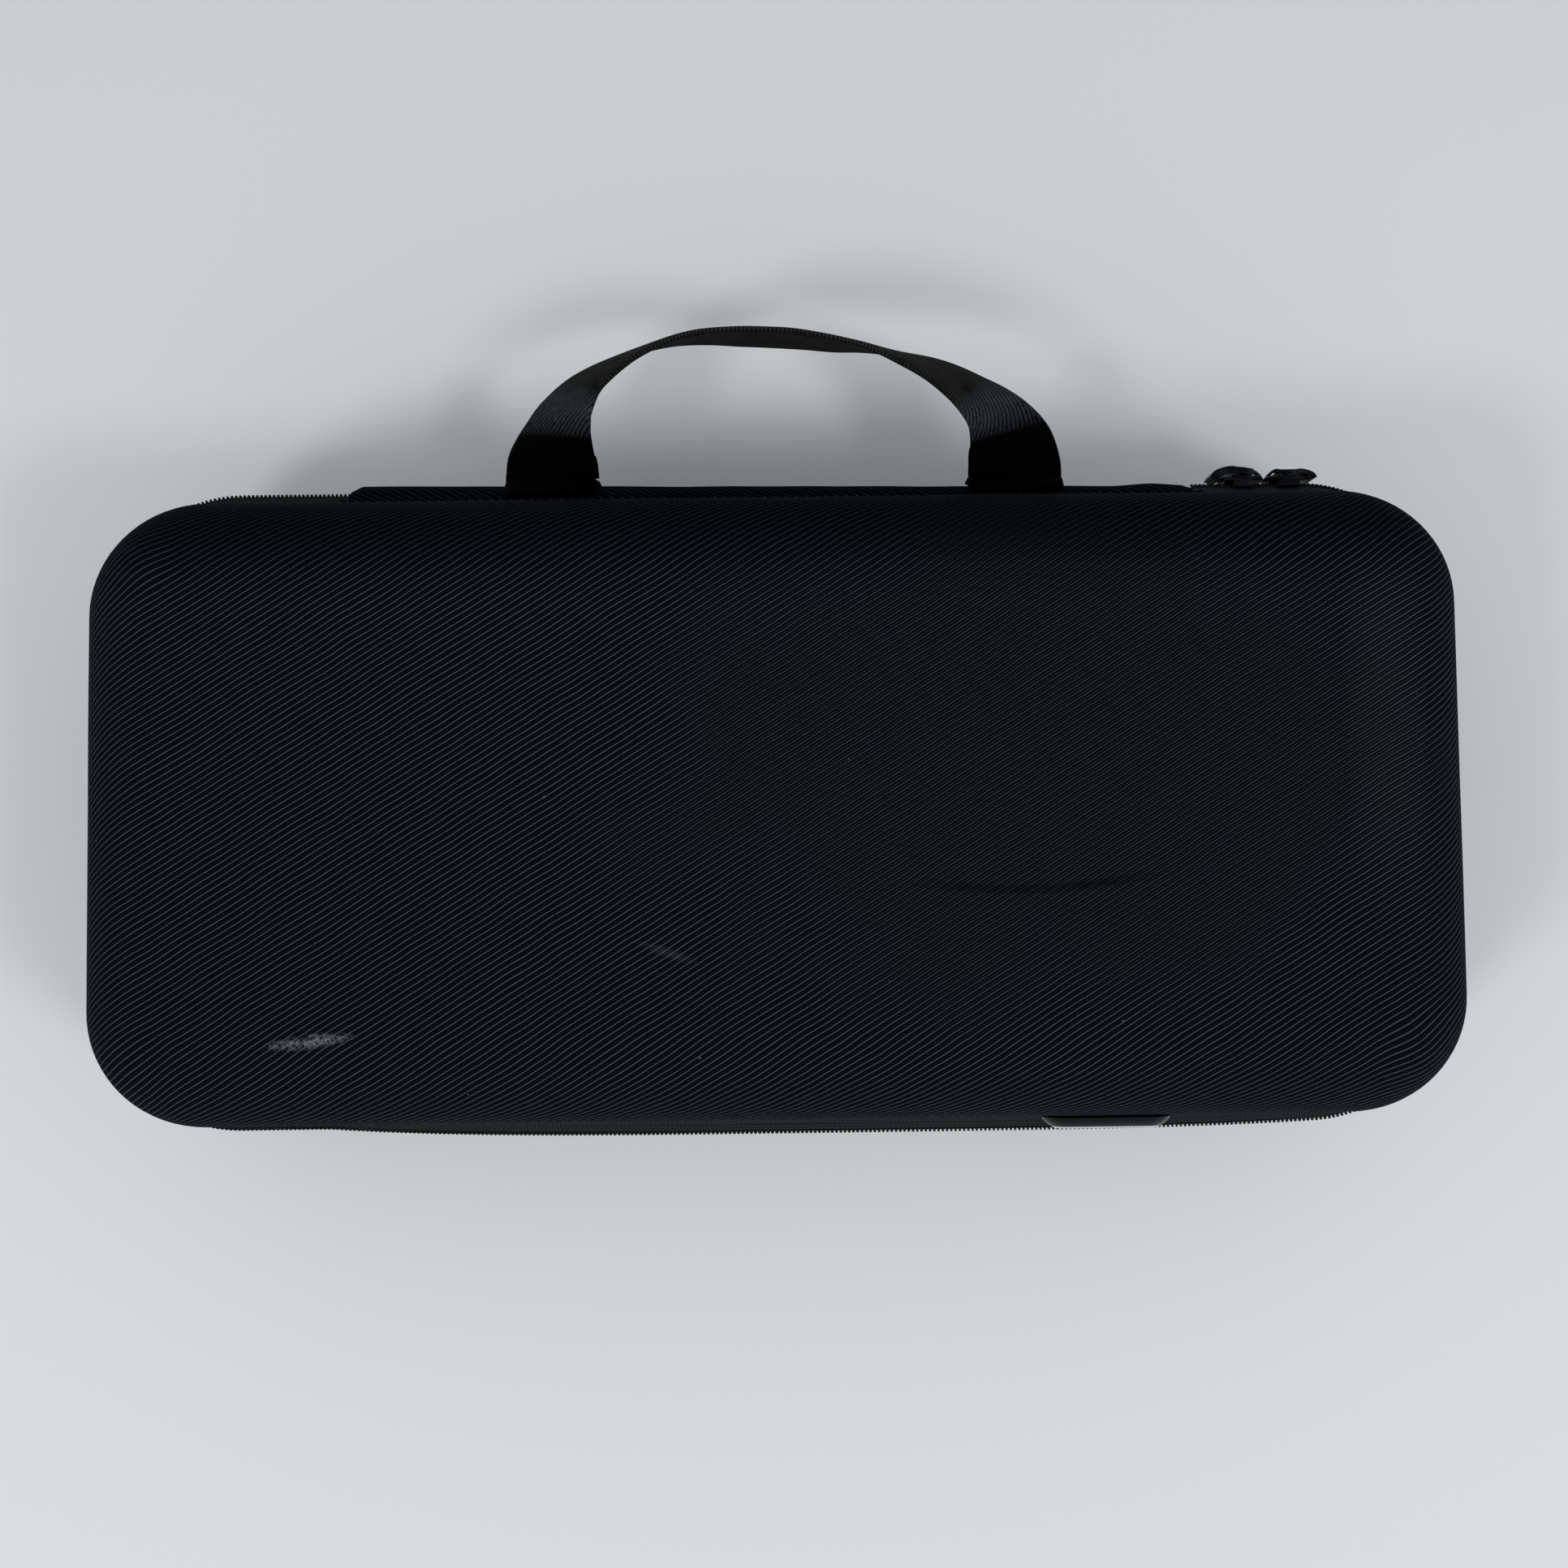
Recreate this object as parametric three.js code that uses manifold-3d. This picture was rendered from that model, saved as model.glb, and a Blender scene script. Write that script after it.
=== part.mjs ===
// A zip-round equipment case: two moulded EVA half shells faced with ribbed twill,
// joined by a fabric hinge strip at the back, closed by a coil zip with two sliders,
// with a webbing handle on the strip, a foam tray in the base and a net pocket in the lid.
// Millimetres. X runs along the case, +Y to the hinge and handle side, +Z up,
// origin at the middle of the base's underside.

import * as THREE from 'three';
import { mergeVertices } from 'three/addons/utils/BufferGeometryUtils.js';
import Module from 'manifold-3d';

const wasm = await Module();
wasm.setup();

// Half shells: the outline is taken at the rim, and everything else is inset from it.
const RIM_HALF_LENGTH = 172.5;
const RIM_HALF_DEPTH = 79.5;
const RIM_CORNER = 31;
const LEAST_CORNER = 4;
const SHELL_HEIGHT = 38;
const SHELL_THICK = 5;
const EDGE_RADIUS = 23;
const DRAFT = THREE.MathUtils.degToRad(5);
const CASE_HEIGHT = 90;
const ZIP_Z = CASE_HEIGHT / 2;
const GAP = 0.3;

// Linings and the ribbon that binds each rim, as depths in from the outer face.
const LINING = [5.3, 6.1];
const BINDING = [6.4, 7.3];
const BINDING_HEIGHT = 9;

// Zip: the tapes lean out from the rims and carry the coils at the tip of the ridge.
const CHAIN_START_X = 112.5;
const TAPE_THICK = 0.9;
const TAPE_OUT = 3.7;
const COIL_OUT = [4, 6.2];
const COIL_HALF_WIDTH = 2.85;
const TUCK = { from: 20, reach: 150, rate: 4.5, most: 3.2 };

// Hinge strip, and the two fold lines at its edges, just outside the zip's tip.
const STRIP_HALF_LENGTH = 112;
const STRIP_OUT_Y = 86.6;
const STRIP_THICK = 2;

// Handle: a webbing loop, flat where it is sewn on and on edge at its crown. Its centre
// line from the left foot to the right one is x, y, z, and degrees turned from flat.
const WEBBING_WIDTH = 25;
const WEBBING_THICK = 1.7;
const HANDLE_FEET_X = [-58.4, 64.9];
const HANDLE_STEPS = 56;
const HANDLE_LINE = [
  [-58.4, 87.75, 48.4, 0],
  [-58.6, 90.8, 48.4, 3],
  [-58.8, 95, 48.4, 17],
  [-57.6, 101.8, 48.4, 35],
  [-55.2, 107.8, 48, 45],
  [-49.8, 114.8, 47.2, 56],
  [-40, 121.6, 46.2, 66],
  [-30, 126, 45.4, 73],
  [-20.5, 127.9, 45, 78],
  [-8, 128.1, 45, 82],
  [5, 127.4, 45, 82.5],
  [17, 125.8, 45, 80],
  [27, 124.3, 45.3, 74],
  [36, 121.4, 45.8, 66],
  [45.5, 117.3, 46.5, 57],
  [54.2, 111.3, 47.4, 48],
  [60.5, 105.3, 48.1, 36],
  [64, 98.5, 48.4, 19],
  [64.9, 91.8, 48.4, 3],
  [64.9, 87.75, 48.4, 0],
];

// Sliders: centres of their plates and of the crowns that hold the pulls.
const COIL_TIP_Y = RIM_HALF_DEPTH + COIL_OUT[1];
const SLIDER_LENGTH = 11.5;
const SLIDERS = [
  { name: 'inner', x: 126.2, crown: 2.7, side: -1 },
  { name: 'outer', x: 138, crown: -2, side: 1 },
];

// Contents of the base.
const TRAY_TOP = 35;
const TRAY_FLOOR = 13;
const MAIN_POCKET = { x: [-150, 62], y: [-57, 57], corner: 14 };
const SIDE_POCKET = { x: [76, 150], y: [-57, 57], corner: 12 };
const FINGER_NOTCH = { radius: 13, x: -44 };
const STRAP_WIDTH = 30;
const STRAP_X = -44;

// Net pocket of the lid.
const NET_Z = 58;
const NET_MOUTH_Y = -40;

// Oval badge on the lid's front wall.
const BADGE = { half: [16.3, 6.6], x: 82.3, z: 63.5, seat: 0.45 };

const CORNER_STEPS = 6;
const FRONT_STEPS = 12;
const EDGE_STEPS = 4;

const part = new THREE.Group();
part.name = 'zip_round_equipment_case';

const FINISH = {
  twill: { color: 0x11151a, roughness: 0.75, metalness: 0 },
  lining: { color: 0x17191c, roughness: 0.9, metalness: 0 },
  binding: { color: 0x101113, roughness: 0.85, metalness: 0 },
  tape: { color: 0x14171b, roughness: 0.85, metalness: 0 },
  coil: { color: 0x1b1e22, roughness: 0.5, metalness: 0 },
  webbing: { color: 0x0b0c0e, roughness: 0.7, metalness: 0 },
  foam: { color: 0x1c1d1f, roughness: 0.95, metalness: 0 },
  elastic: { color: 0x131416, roughness: 0.85, metalness: 0 },
  net: { color: 0x1d1f22, roughness: 0.8, metalness: 0 },
  gunmetal: { color: 0x2a2c2f, roughness: 0.3, metalness: 1 },
  bright: { color: 0xc8cacc, roughness: 0.15, metalness: 1 },
  resin: { color: 0x060708, roughness: 0.1, metalness: 0 },
};

function addPiece(name, geometry, finish) {
  const mesh = new THREE.Mesh(geometry, new THREE.MeshStandardMaterial(FINISH[finish]));
  mesh.name = name;
  part.add(mesh);
}

// ---------- closed geometry, and joining and cutting it ----------

// Welds a geometry's shared corners and drops the faces that this closes up.
function weld(geometry) {
  const bare = geometry.clone();
  for (const name of Object.keys(bare.attributes)) {
    if (name !== 'position') bare.deleteAttribute(name);
  }
  const merged = mergeVertices(bare, 1e-4);
  const faces = [];
  for (let i = 0; i < merged.index.count; i += 3) {
    const [a, b, c] = [0, 1, 2].map((k) => merged.index.getX(i + k));
    if (a !== b && b !== c && c !== a) faces.push(a, b, c);
  }
  merged.setIndex(faces);
  return merged;
}

function toSolid(geometry) {
  const welded = weld(geometry);
  return new wasm.Manifold(new wasm.Mesh({
    numProp: 3,
    vertProperties: new Float32Array(welded.attributes.position.array),
    triVerts: new Uint32Array(welded.index.array),
  }));
}

function toGeometry(solid) {
  const { vertProperties, triVerts } = solid.getMesh();
  const geometry = new THREE.BufferGeometry();
  geometry.setAttribute('position', new THREE.BufferAttribute(vertProperties, 3));
  geometry.setIndex(new THREE.BufferAttribute(triVerts, 1));
  geometry.computeVertexNormals();
  return geometry;
}

const joined = (...pieces) => toGeometry(pieces.map(toSolid).reduce((a, b) => a.add(b)));
const cut = (piece, ...tools) => toGeometry(toSolid(piece).subtract(toSolid(joined(...tools))));
const shared = (a, b) => toGeometry(toSolid(a).intersect(toSolid(b)));

function block([x0, x1], [y0, y1], [z0, z1]) {
  const box = new THREE.BoxGeometry(x1 - x0, y1 - y0, z1 - z0);
  return box.translate((x0 + x1) / 2, (y0 + y1) / 2, (z0 + z1) / 2);
}

function roundedShape([x0, x1], [y0, y1], corner) {
  const shape = new THREE.Shape();
  shape.moveTo(x0 + corner, y0);
  shape.lineTo(x1 - corner, y0);
  shape.absarc(x1 - corner, y0 + corner, corner, -Math.PI / 2, 0);
  shape.lineTo(x1, y1 - corner);
  shape.absarc(x1 - corner, y1 - corner, corner, 0, Math.PI / 2);
  shape.lineTo(x0 + corner, y1);
  shape.absarc(x0 + corner, y1 - corner, corner, Math.PI / 2, Math.PI);
  shape.lineTo(x0, y0 + corner);
  shape.absarc(x0 + corner, y0 + corner, corner, Math.PI, 1.5 * Math.PI);
  return shape;
}

function slab(shape, z0, z1, curveSegments = 5) {
  const settings = { depth: z1 - z0, bevelEnabled: false, curveSegments };
  return new THREE.ExtrudeGeometry(shape, settings).translate(0, 0, z0);
}

// ---------- the case's outline, and sections carried round it ----------

// Points of the outline at an inset, clockwise from the right end of the hinge strip
// to its left end. Every inset gives the same number of points.
function outline(inset) {
  const radius = Math.max(RIM_CORNER - inset, LEAST_CORNER);
  const reachX = RIM_HALF_LENGTH - inset - radius;
  const reachY = RIM_HALF_DEPTH - inset - radius;
  const points = [[CHAIN_START_X, reachY + radius]];
  const corner = (cx, cy, from) => {
    for (let i = 0; i <= CORNER_STEPS; i += 1) {
      const angle = from - (Math.PI / 2) * (i / CORNER_STEPS);
      points.push([cx + radius * Math.cos(angle), cy + radius * Math.sin(angle)]);
    }
  };
  corner(reachX, reachY, Math.PI / 2);
  corner(reachX, -reachY, 0);
  for (let i = 1; i < FRONT_STEPS; i += 1) {
    points.push([reachX * (1 - (2 * i) / FRONT_STEPS), -reachY - radius]);
  }
  corner(-reachX, -reachY, -Math.PI / 2);
  corner(-reachX, reachY, Math.PI);
  points.push([-CHAIN_START_X, reachY + radius]);
  return points;
}

// How far the zip's tip is drawn in from its even line towards the front corners.
function tuck(x, y) {
  const along = (x - TUCK.from) / TUCK.reach;
  const front = Math.min(1, Math.max(0, (RIM_CORNER - RIM_HALF_DEPTH - y) / RIM_CORNER));
  return front * Math.min(TUCK.most, TUCK.rate * along ** 4);
}

// Carries a section round the outline. Section points are [outward, z], counter-clockwise
// seen along the path, and [null, z] is the middle of the case. A closed path joins its ends,
// and an open one is capped. What stands proud is drawn in at the front corners if
// the path is tucked.
function around(section, { closed = true, tucked = false } = {}) {
  const rings = section.map(([out, z]) => {
    if (out === null) return outline(0).map(() => [0, 0, z]);
    const proud = tucked ? Math.max(out, 0) / COIL_OUT[1] : 0;
    return outline(-out).map(([x, y]) => [x, y + proud * tuck(x, y), z]);
  });
  const steps = rings[0].length;
  const loop = section[0][0] === null ? section.length - 1 : section.length;
  const positions = rings.flatMap((ring) => ring.flat());
  const at = (j, i) => (j % section.length) * steps + (i % steps);
  const faces = [];
  for (let j = 0; j < loop; j += 1) {
    for (let i = 0; i < (closed ? steps : steps - 1); i += 1) {
      faces.push(at(j, i), at(j + 1, i), at(j + 1, i + 1));
      faces.push(at(j, i), at(j + 1, i + 1), at(j, i + 1));
    }
  }
  if (!closed) {
    const flat = section.map(([out, z]) => new THREE.Vector2(out, z));
    for (const [a, b, c] of THREE.ShapeUtils.triangulateShape(flat, [])) {
      faces.push(at(c, 0), at(b, 0), at(a, 0));
      faces.push(at(a, steps - 1), at(b, steps - 1), at(c, steps - 1));
    }
  }
  const geometry = new THREE.BufferGeometry();
  geometry.setAttribute('position', new THREE.Float32BufferAttribute(positions, 3));
  geometry.setIndex(faces);
  return weld(geometry);
}

// ---------- half shells, linings, bindings ----------

const wallOut = (height, depth) => -((SHELL_HEIGHT - height) * Math.tan(DRAFT) + depth / Math.cos(DRAFT));

// The half shell's face at a depth in from the outside, from the middle out to the rim.
function shellFace(depth, rimHeight) {
  const centre = (SHELL_HEIGHT - EDGE_RADIUS) * Math.tan(DRAFT) + EDGE_RADIUS / Math.cos(DRAFT);
  const radius = EDGE_RADIUS - depth;
  const face = [[null, depth]];
  for (let i = 0; i <= EDGE_STEPS; i += 1) {
    const angle = -Math.PI / 2 + (Math.PI / 2 - DRAFT) * (i / EDGE_STEPS);
    face.push([radius * Math.cos(angle) - centre, EDGE_RADIUS + radius * Math.sin(angle)]);
  }
  face.push([wallOut(rimHeight, depth), rimHeight]);
  return face;
}

const upsideDown = (section) => section.map(([out, z]) => [out, CASE_HEIGHT - z]).reverse();

function halfShell(outer, inner, rimHeight) {
  return [...shellFace(outer, rimHeight), ...shellFace(inner, rimHeight).reverse()];
}

function addHalf(prefix, turn) {
  const rimHeight = SHELL_HEIGHT - 2 * GAP;
  addPiece(`${prefix}_shell`, around(turn(halfShell(0, SHELL_THICK, SHELL_HEIGHT))), 'twill');
  addPiece(`${prefix}_lining`, around(turn(halfShell(LINING[0], LINING[1], rimHeight))), 'lining');
  const low = rimHeight - BINDING_HEIGHT;
  const ribbon = [
    [wallOut(low, BINDING[0]), low],
    [wallOut(rimHeight, BINDING[0]), rimHeight],
    [wallOut(rimHeight, BINDING[1]), rimHeight],
    [wallOut(low, BINDING[1]), low],
  ];
  addPiece(`${prefix}_rim_binding`, around(turn(ribbon)), 'binding');
}

// ---------- zip ----------

// One stringer's tape: sewn under the rim, leaning out, then upright behind the coil.
function tapeSection() {
  const top = ZIP_Z - SHELL_HEIGHT;
  return [
    [-2, SHELL_HEIGHT + GAP],
    [0.4, SHELL_HEIGHT + GAP],
    [TAPE_OUT, ZIP_Z - COIL_HALF_WIDTH - 0.4],
    [TAPE_OUT, ZIP_Z - GAP],
    [TAPE_OUT - TAPE_THICK, ZIP_Z - GAP],
    [TAPE_OUT - TAPE_THICK, ZIP_Z - COIL_HALF_WIDTH],
    [-2, SHELL_HEIGHT + GAP + top * 0.16],
  ];
}

function coilSection() {
  const [near, far] = COIL_OUT;
  const low = ZIP_Z - COIL_HALF_WIDTH;
  const high = ZIP_Z - GAP / 2;
  const round = 0.7;
  return [
    [near, low + round],
    [near + round, low],
    [far - round, low],
    [far, low + round],
    [far, high],
    [near, high],
  ];
}

// The open stretch of chain that the sliders' necks stand in.
function sliderWay() {
  return block([116.5, 146], [COIL_TIP_Y - 2.6, COIL_TIP_Y + 1], [ZIP_Z - 1.3, ZIP_Z + 1.3]);
}

function tapeWay() {
  return block([116.5, 146], [COIL_TIP_Y - 5, COIL_TIP_Y - 2], [ZIP_Z - 1.3, ZIP_Z + 1.3]);
}

function addStringer(name, turn) {
  const path = { closed: false, tucked: true };
  addPiece(`zip_tape_${name}`, cut(around(turn(tapeSection()), path), tapeWay()), 'tape');
  addPiece(`zip_coil_${name}`, cut(around(turn(coilSection()), path), sliderWay()), 'coil');
}

// ---------- sliders and pulls ----------

// A plate lying along the chain: tapered to its tail, in the X-Z plane, from y0 to y1.
function sliderPlate(halfWidth, y0, y1, tail) {
  const half = SLIDER_LENGTH / 2;
  const shape = new THREE.Shape([
    new THREE.Vector2(-half, -halfWidth * 0.62),
    new THREE.Vector2(-half + 1.4, -halfWidth * 0.8),
    new THREE.Vector2(half - 3.4, -halfWidth),
    new THREE.Vector2(half - 1, -halfWidth * 0.8),
    new THREE.Vector2(half, -halfWidth * 0.4),
    new THREE.Vector2(half, halfWidth * 0.4),
    new THREE.Vector2(half - 1, halfWidth * 0.8),
    new THREE.Vector2(half - 3.4, halfWidth),
    new THREE.Vector2(-half + 1.4, halfWidth * 0.8),
    new THREE.Vector2(-half, halfWidth * 0.62),
  ]);
  const plate = slab(shape, 0, y1 - y0).rotateX(Math.PI / 2).translate(0, y1, 0);
  return tail > 0 ? plate.rotateZ(Math.PI).translate(0, y0 + y1, 0) : plate;
}

function sliderBody(side) {
  const flanges = [-1, 1].map((up) => {
    const z = [up * 3.3, up * 4.3].sort((a, b) => a - b);
    return block([-3.2, 3.2], [-1.5, 0.9], z);
  });
  const body = joined(
    sliderPlate(4.3, 0.4, 1.5, side),
    sliderPlate(1.9, -6.2, -5.3, side),
    block([-1.1, 1.1], [-5.7, 0.9], [-0.9, 0.9]),
    ...flanges,
  );
  return body;
}

// The sheet bridge on the plate, with the eye that the pull hangs in.
function crownBridge() {
  const arch = new THREE.Shape();
  arch.moveTo(-3.1, 1.8);
  arch.lineTo(3.1, 1.8);
  arch.lineTo(2.5, 3.1);
  arch.lineTo(0.9, 4);
  arch.lineTo(-0.9, 4);
  arch.lineTo(-2.5, 3.1);
  const eye = new THREE.Path();
  eye.absellipse(0, 2.75, 1.35, 0.72, 0, 2 * Math.PI, true);
  arch.holes.push(eye);
  return slab(arch, -1, 1, 3);
}

// A curved plate on two arms either side of the bridge, with a bar through its eye.
function pull(side, reach, rise, drop, thick) {
  const spine = new THREE.CatmullRomCurve3([
    new THREE.Vector3(0, 0, 0),
    new THREE.Vector3(reach * 0.3, rise, 0),
    new THREE.Vector3(reach * 0.65, rise, 0),
    new THREE.Vector3(reach * 0.92, rise - drop * 0.45, 0),
    new THREE.Vector3(reach, rise - drop, 0),
  ]);
  const [near, far] = [[], []];
  for (let i = 0; i <= 8; i += 1) {
    const p = spine.getPointAt(i / 8);
    const t = spine.getTangentAt(i / 8);
    near.push(new THREE.Vector2(side * (p.x + t.y * thick), p.y - t.x * thick));
    far.unshift(new THREE.Vector2(side * (p.x - t.y * thick), p.y + t.x * thick));
  }
  const outlinePoints = side > 0 ? [...near, ...far] : [...near, ...far].reverse();
  const plate = slab(new THREE.Shape(outlinePoints), -3.6, 3.6);
  const bar = new THREE.CylinderGeometry(0.5, 0.5, 7.2, 8).rotateX(Math.PI / 2);
  const slot = [side * -2, side * 4.6].sort((a, b) => a - b);
  const ears = cut(plate, block(slot, [-3, 3], [-1.5, 1.5]));
  return joined(ears, bar);
}

function addSlider({ name, x, crown, side }) {
  const group = (geometry) => geometry.translate(x, COIL_TIP_Y, ZIP_Z);
  addPiece(`slider_${name}_body`, group(sliderBody(side)), 'gunmetal');
  addPiece(`slider_${name}_bridge`, group(crownBridge().translate(crown, 0, 0)), 'gunmetal');
  const shape = side < 0 ? pull(side, 10.25, 0.45, 2.2, 0.85) : pull(side, 9.2, 0, 2, 0.65);
  addPiece(`slider_${name}_pull`, group(shape.translate(crown, 2.75, 0)), 'gunmetal');
}

// ---------- hinge strip and handle ----------

// A bulged band between the two rims, its outer face at a given y, in the Y-Z plane.
function bulgedBand(outY, thick, halfLength) {
  const side = [
    [outY - 4.6, SHELL_HEIGHT + GAP],
    [outY - 1.6, SHELL_HEIGHT + 1.5],
    [outY, SHELL_HEIGHT + 4.2],
  ];
  const face = [...side, ...upsideDown(side)];
  const inner = face.map(([y, z]) => [y - thick, z]).reverse();
  const shape = new THREE.Shape([...face, ...inner].map(([y, z]) => new THREE.Vector2(y, z)));
  const band = slab(shape, -halfLength, halfLength);
  return band.applyMatrix4(new THREE.Matrix4().makeBasis(
    new THREE.Vector3(0, 1, 0),
    new THREE.Vector3(0, 0, 1),
    new THREE.Vector3(1, 0, 0),
  ));
}

function addHinge() {
  addPiece('hinge_strip', bulgedBand(STRIP_OUT_Y, STRIP_THICK, STRIP_HALF_LENGTH), 'twill');
  const liningY = STRIP_OUT_Y - STRIP_THICK - GAP;
  addPiece('hinge_lining', bulgedBand(liningY, 0.9, STRIP_HALF_LENGTH - 3), 'lining');
  for (const [name, x] of [['left', HANDLE_FEET_X[0]], ['right', HANDLE_FEET_X[1]]]) {
    const span = [x - WEBBING_WIDTH / 2, x + WEBBING_WIDTH / 2];
    const y = [STRIP_OUT_Y + GAP, STRIP_OUT_Y + GAP + WEBBING_THICK];
    addPiece(`handle_foot_${name}`, block(span, y, [41.4, 46.4]), 'webbing');
  }
}

// The centre line's points, and a curve through its turns over the same lengths.
function handleLine() {
  const line = new THREE.CatmullRomCurve3(
    HANDLE_LINE.map(([x, y, z]) => new THREE.Vector3(x, y, z)), false, 'centripetal',
  );
  const turn = (share) => {
    const at = line.getUtoTmapping(share) * (HANDLE_LINE.length - 1);
    const before = Math.min(Math.floor(at), HANDLE_LINE.length - 2);
    const between = [HANDLE_LINE[before][3], HANDLE_LINE[before + 1][3]];
    return THREE.MathUtils.degToRad(THREE.MathUtils.lerp(...between, at - before));
  };
  return { line, turn };
}

function handleLoop() {
  const { line, turn } = handleLine();
  const up = new THREE.Vector3(0, 0, 1);
  const positions = [];
  const faces = [];
  for (let i = 0; i <= HANDLE_STEPS; i += 1) {
    const centre = line.getPointAt(i / HANDLE_STEPS);
    const along = line.getTangentAt(i / HANDLE_STEPS);
    const outward = new THREE.Vector3().crossVectors(up, along).normalize();
    const angle = turn(i / HANDLE_STEPS);
    const width = outward.clone().multiplyScalar(Math.cos(angle))
      .addScaledVector(new THREE.Vector3().crossVectors(outward, along), Math.sin(angle));
    const face = new THREE.Vector3().crossVectors(along, width);
    for (const [u, v] of [[-1, -1], [1, -1], [1, 1], [-1, 1]]) {
      const corner = centre.clone()
        .addScaledVector(width, (u * WEBBING_WIDTH) / 2)
        .addScaledVector(face, (v * WEBBING_THICK) / 2);
      positions.push(...corner.toArray());
    }
    if (i === HANDLE_STEPS) continue;
    for (let k = 0; k < 4; k += 1) {
      const [a, b] = [4 * i + k, 4 * i + ((k + 1) % 4)];
      faces.push(a, b, b + 4, a, b + 4, a + 4);
    }
  }
  const last = 4 * HANDLE_STEPS;
  faces.push(0, 2, 1, 0, 3, 2, last, last + 1, last + 2, last, last + 2, last + 3);
  const geometry = new THREE.BufferGeometry();
  geometry.setAttribute('position', new THREE.Float32BufferAttribute(positions, 3));
  geometry.setIndex(faces);
  return geometry;
}

// ---------- contents of the base ----------

function addTray() {
  const depth = BINDING[1] + 0.5;
  const section = [...shellFace(depth, TRAY_TOP), [null, TRAY_TOP]];
  const pocket = ({ x, y, corner }) => slab(roundedShape(x, y, corner), TRAY_FLOOR, TRAY_TOP + 5, 3);
  const notch = new THREE.CylinderGeometry(FINGER_NOTCH.radius, FINGER_NOTCH.radius, 136, 12);
  notch.translate(FINGER_NOTCH.x, 0, TRAY_TOP + 1);
  addPiece('foam_tray', cut(around(section), pocket(MAIN_POCKET), pocket(SIDE_POCKET), notch), 'foam');
}

// An elastic strap over the main pocket, sewn to a webbing patch on each long wall.
function addStrap() {
  const span = [STRAP_X - STRAP_WIDTH / 2, STRAP_X + STRAP_WIDTH / 2];
  addPiece('tray_strap', block(span, [-68, 68], [TRAY_TOP + GAP, TRAY_TOP + GAP + 1.2]), 'elastic');
  for (const [name, side] of [['front', -1], ['back', 1]]) {
    const y = [side * 58.5, side * 67.5].sort((a, b) => a - b);
    const z = [TRAY_TOP + 2 * GAP + 1.2, TRAY_TOP + 2 * GAP + 2.2];
    addPiece(`strap_patch_${name}`, block([span[0] - 2, span[1] + 2], y, z), 'webbing');
  }
}

// ---------- contents of the lid ----------

function flatAt(out, z0, z1) {
  const points = outline(-out).map(([x, y]) => new THREE.Vector2(x, y));
  return slab(new THREE.Shape(points.reverse()), z0, z1);
}

function addNet() {
  const edge = wallOut(CASE_HEIGHT - NET_Z, BINDING[1] + 0.3);
  const room = (z0, z1) => block([-200, 200], [NET_MOUTH_Y, 200], [z0, z1]);
  const net = shared(flatAt(edge, NET_Z, NET_Z + 0.8), room(NET_Z - 1, NET_Z + 2));
  addPiece('net_pocket', net, 'net');
  const low = NET_Z - GAP - 0.8;
  const ring = cut(flatAt(edge, low, NET_Z - GAP), flatAt(edge - 7, low - 1, NET_Z + 1));
  addPiece('net_binding', shared(ring, room(low - 1, NET_Z + 1)), 'binding');
  const hem = roundedShape([-158, 158], [NET_MOUTH_Y - 5.3, NET_MOUTH_Y - GAP], 1.5);
  addPiece('net_elastic', slab(hem, NET_Z - 0.5, NET_Z + 1.3, 2), 'elastic');
}

// ---------- badge on the lid's front wall ----------

function addBadge() {
  const onWall = (geometry, proud) => {
    geometry.rotateX(Math.PI / 2 - DRAFT);
    const wallY = -RIM_HALF_DEPTH - wallOut(CASE_HEIGHT - BADGE.z, 0);
    return geometry.translate(BADGE.x, wallY - BADGE.seat - proud, BADGE.z);
  };
  const stadium = (inset) => {
    const [a, b] = BADGE.half.map((half) => half - inset);
    return roundedShape([-a, a], [-b, b], b);
  };
  const bevel = { bevelEnabled: true, bevelSegments: 2, curveSegments: 5 };
  const rimShape = stadium(0.5);
  rimShape.holes.push(new THREE.Path(stadium(3.95).getPoints(5)));
  const rim = new THREE.ExtrudeGeometry(rimShape, {
    ...bevel, depth: 2.4, bevelThickness: 0.35, bevelSize: 0.35,
  });
  addPiece('badge_rim', onWall(rim, 0.35), 'bright');
  const plate = new THREE.ExtrudeGeometry(stadium(5.7), {
    ...bevel, depth: 0.3, bevelThickness: 1.25, bevelSize: 1.05, bevelSegments: 3,
  });
  addPiece('badge_plate', onWall(plate, 1.25), 'resin');
}

addHalf('base', (section) => section);
addHalf('lid', upsideDown);
addStringer('lower', (section) => section);
addStringer('upper', upsideDown);
addHinge();
addPiece('handle_loop', handleLoop(), 'webbing');
SLIDERS.forEach(addSlider);
addTray();
addStrap();
addNet();
addBadge();

export default part;
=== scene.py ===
"""A zip-round equipment case: the looks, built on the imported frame.

Lengths are in millimetres and become metres where a mesh is made. +X runs along the case
towards the sliders, +Y to the hinge and handle, +Z up through the lid.
"""

import math

import bmesh
import bpy
import numpy as np
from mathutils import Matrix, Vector, noise


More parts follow.
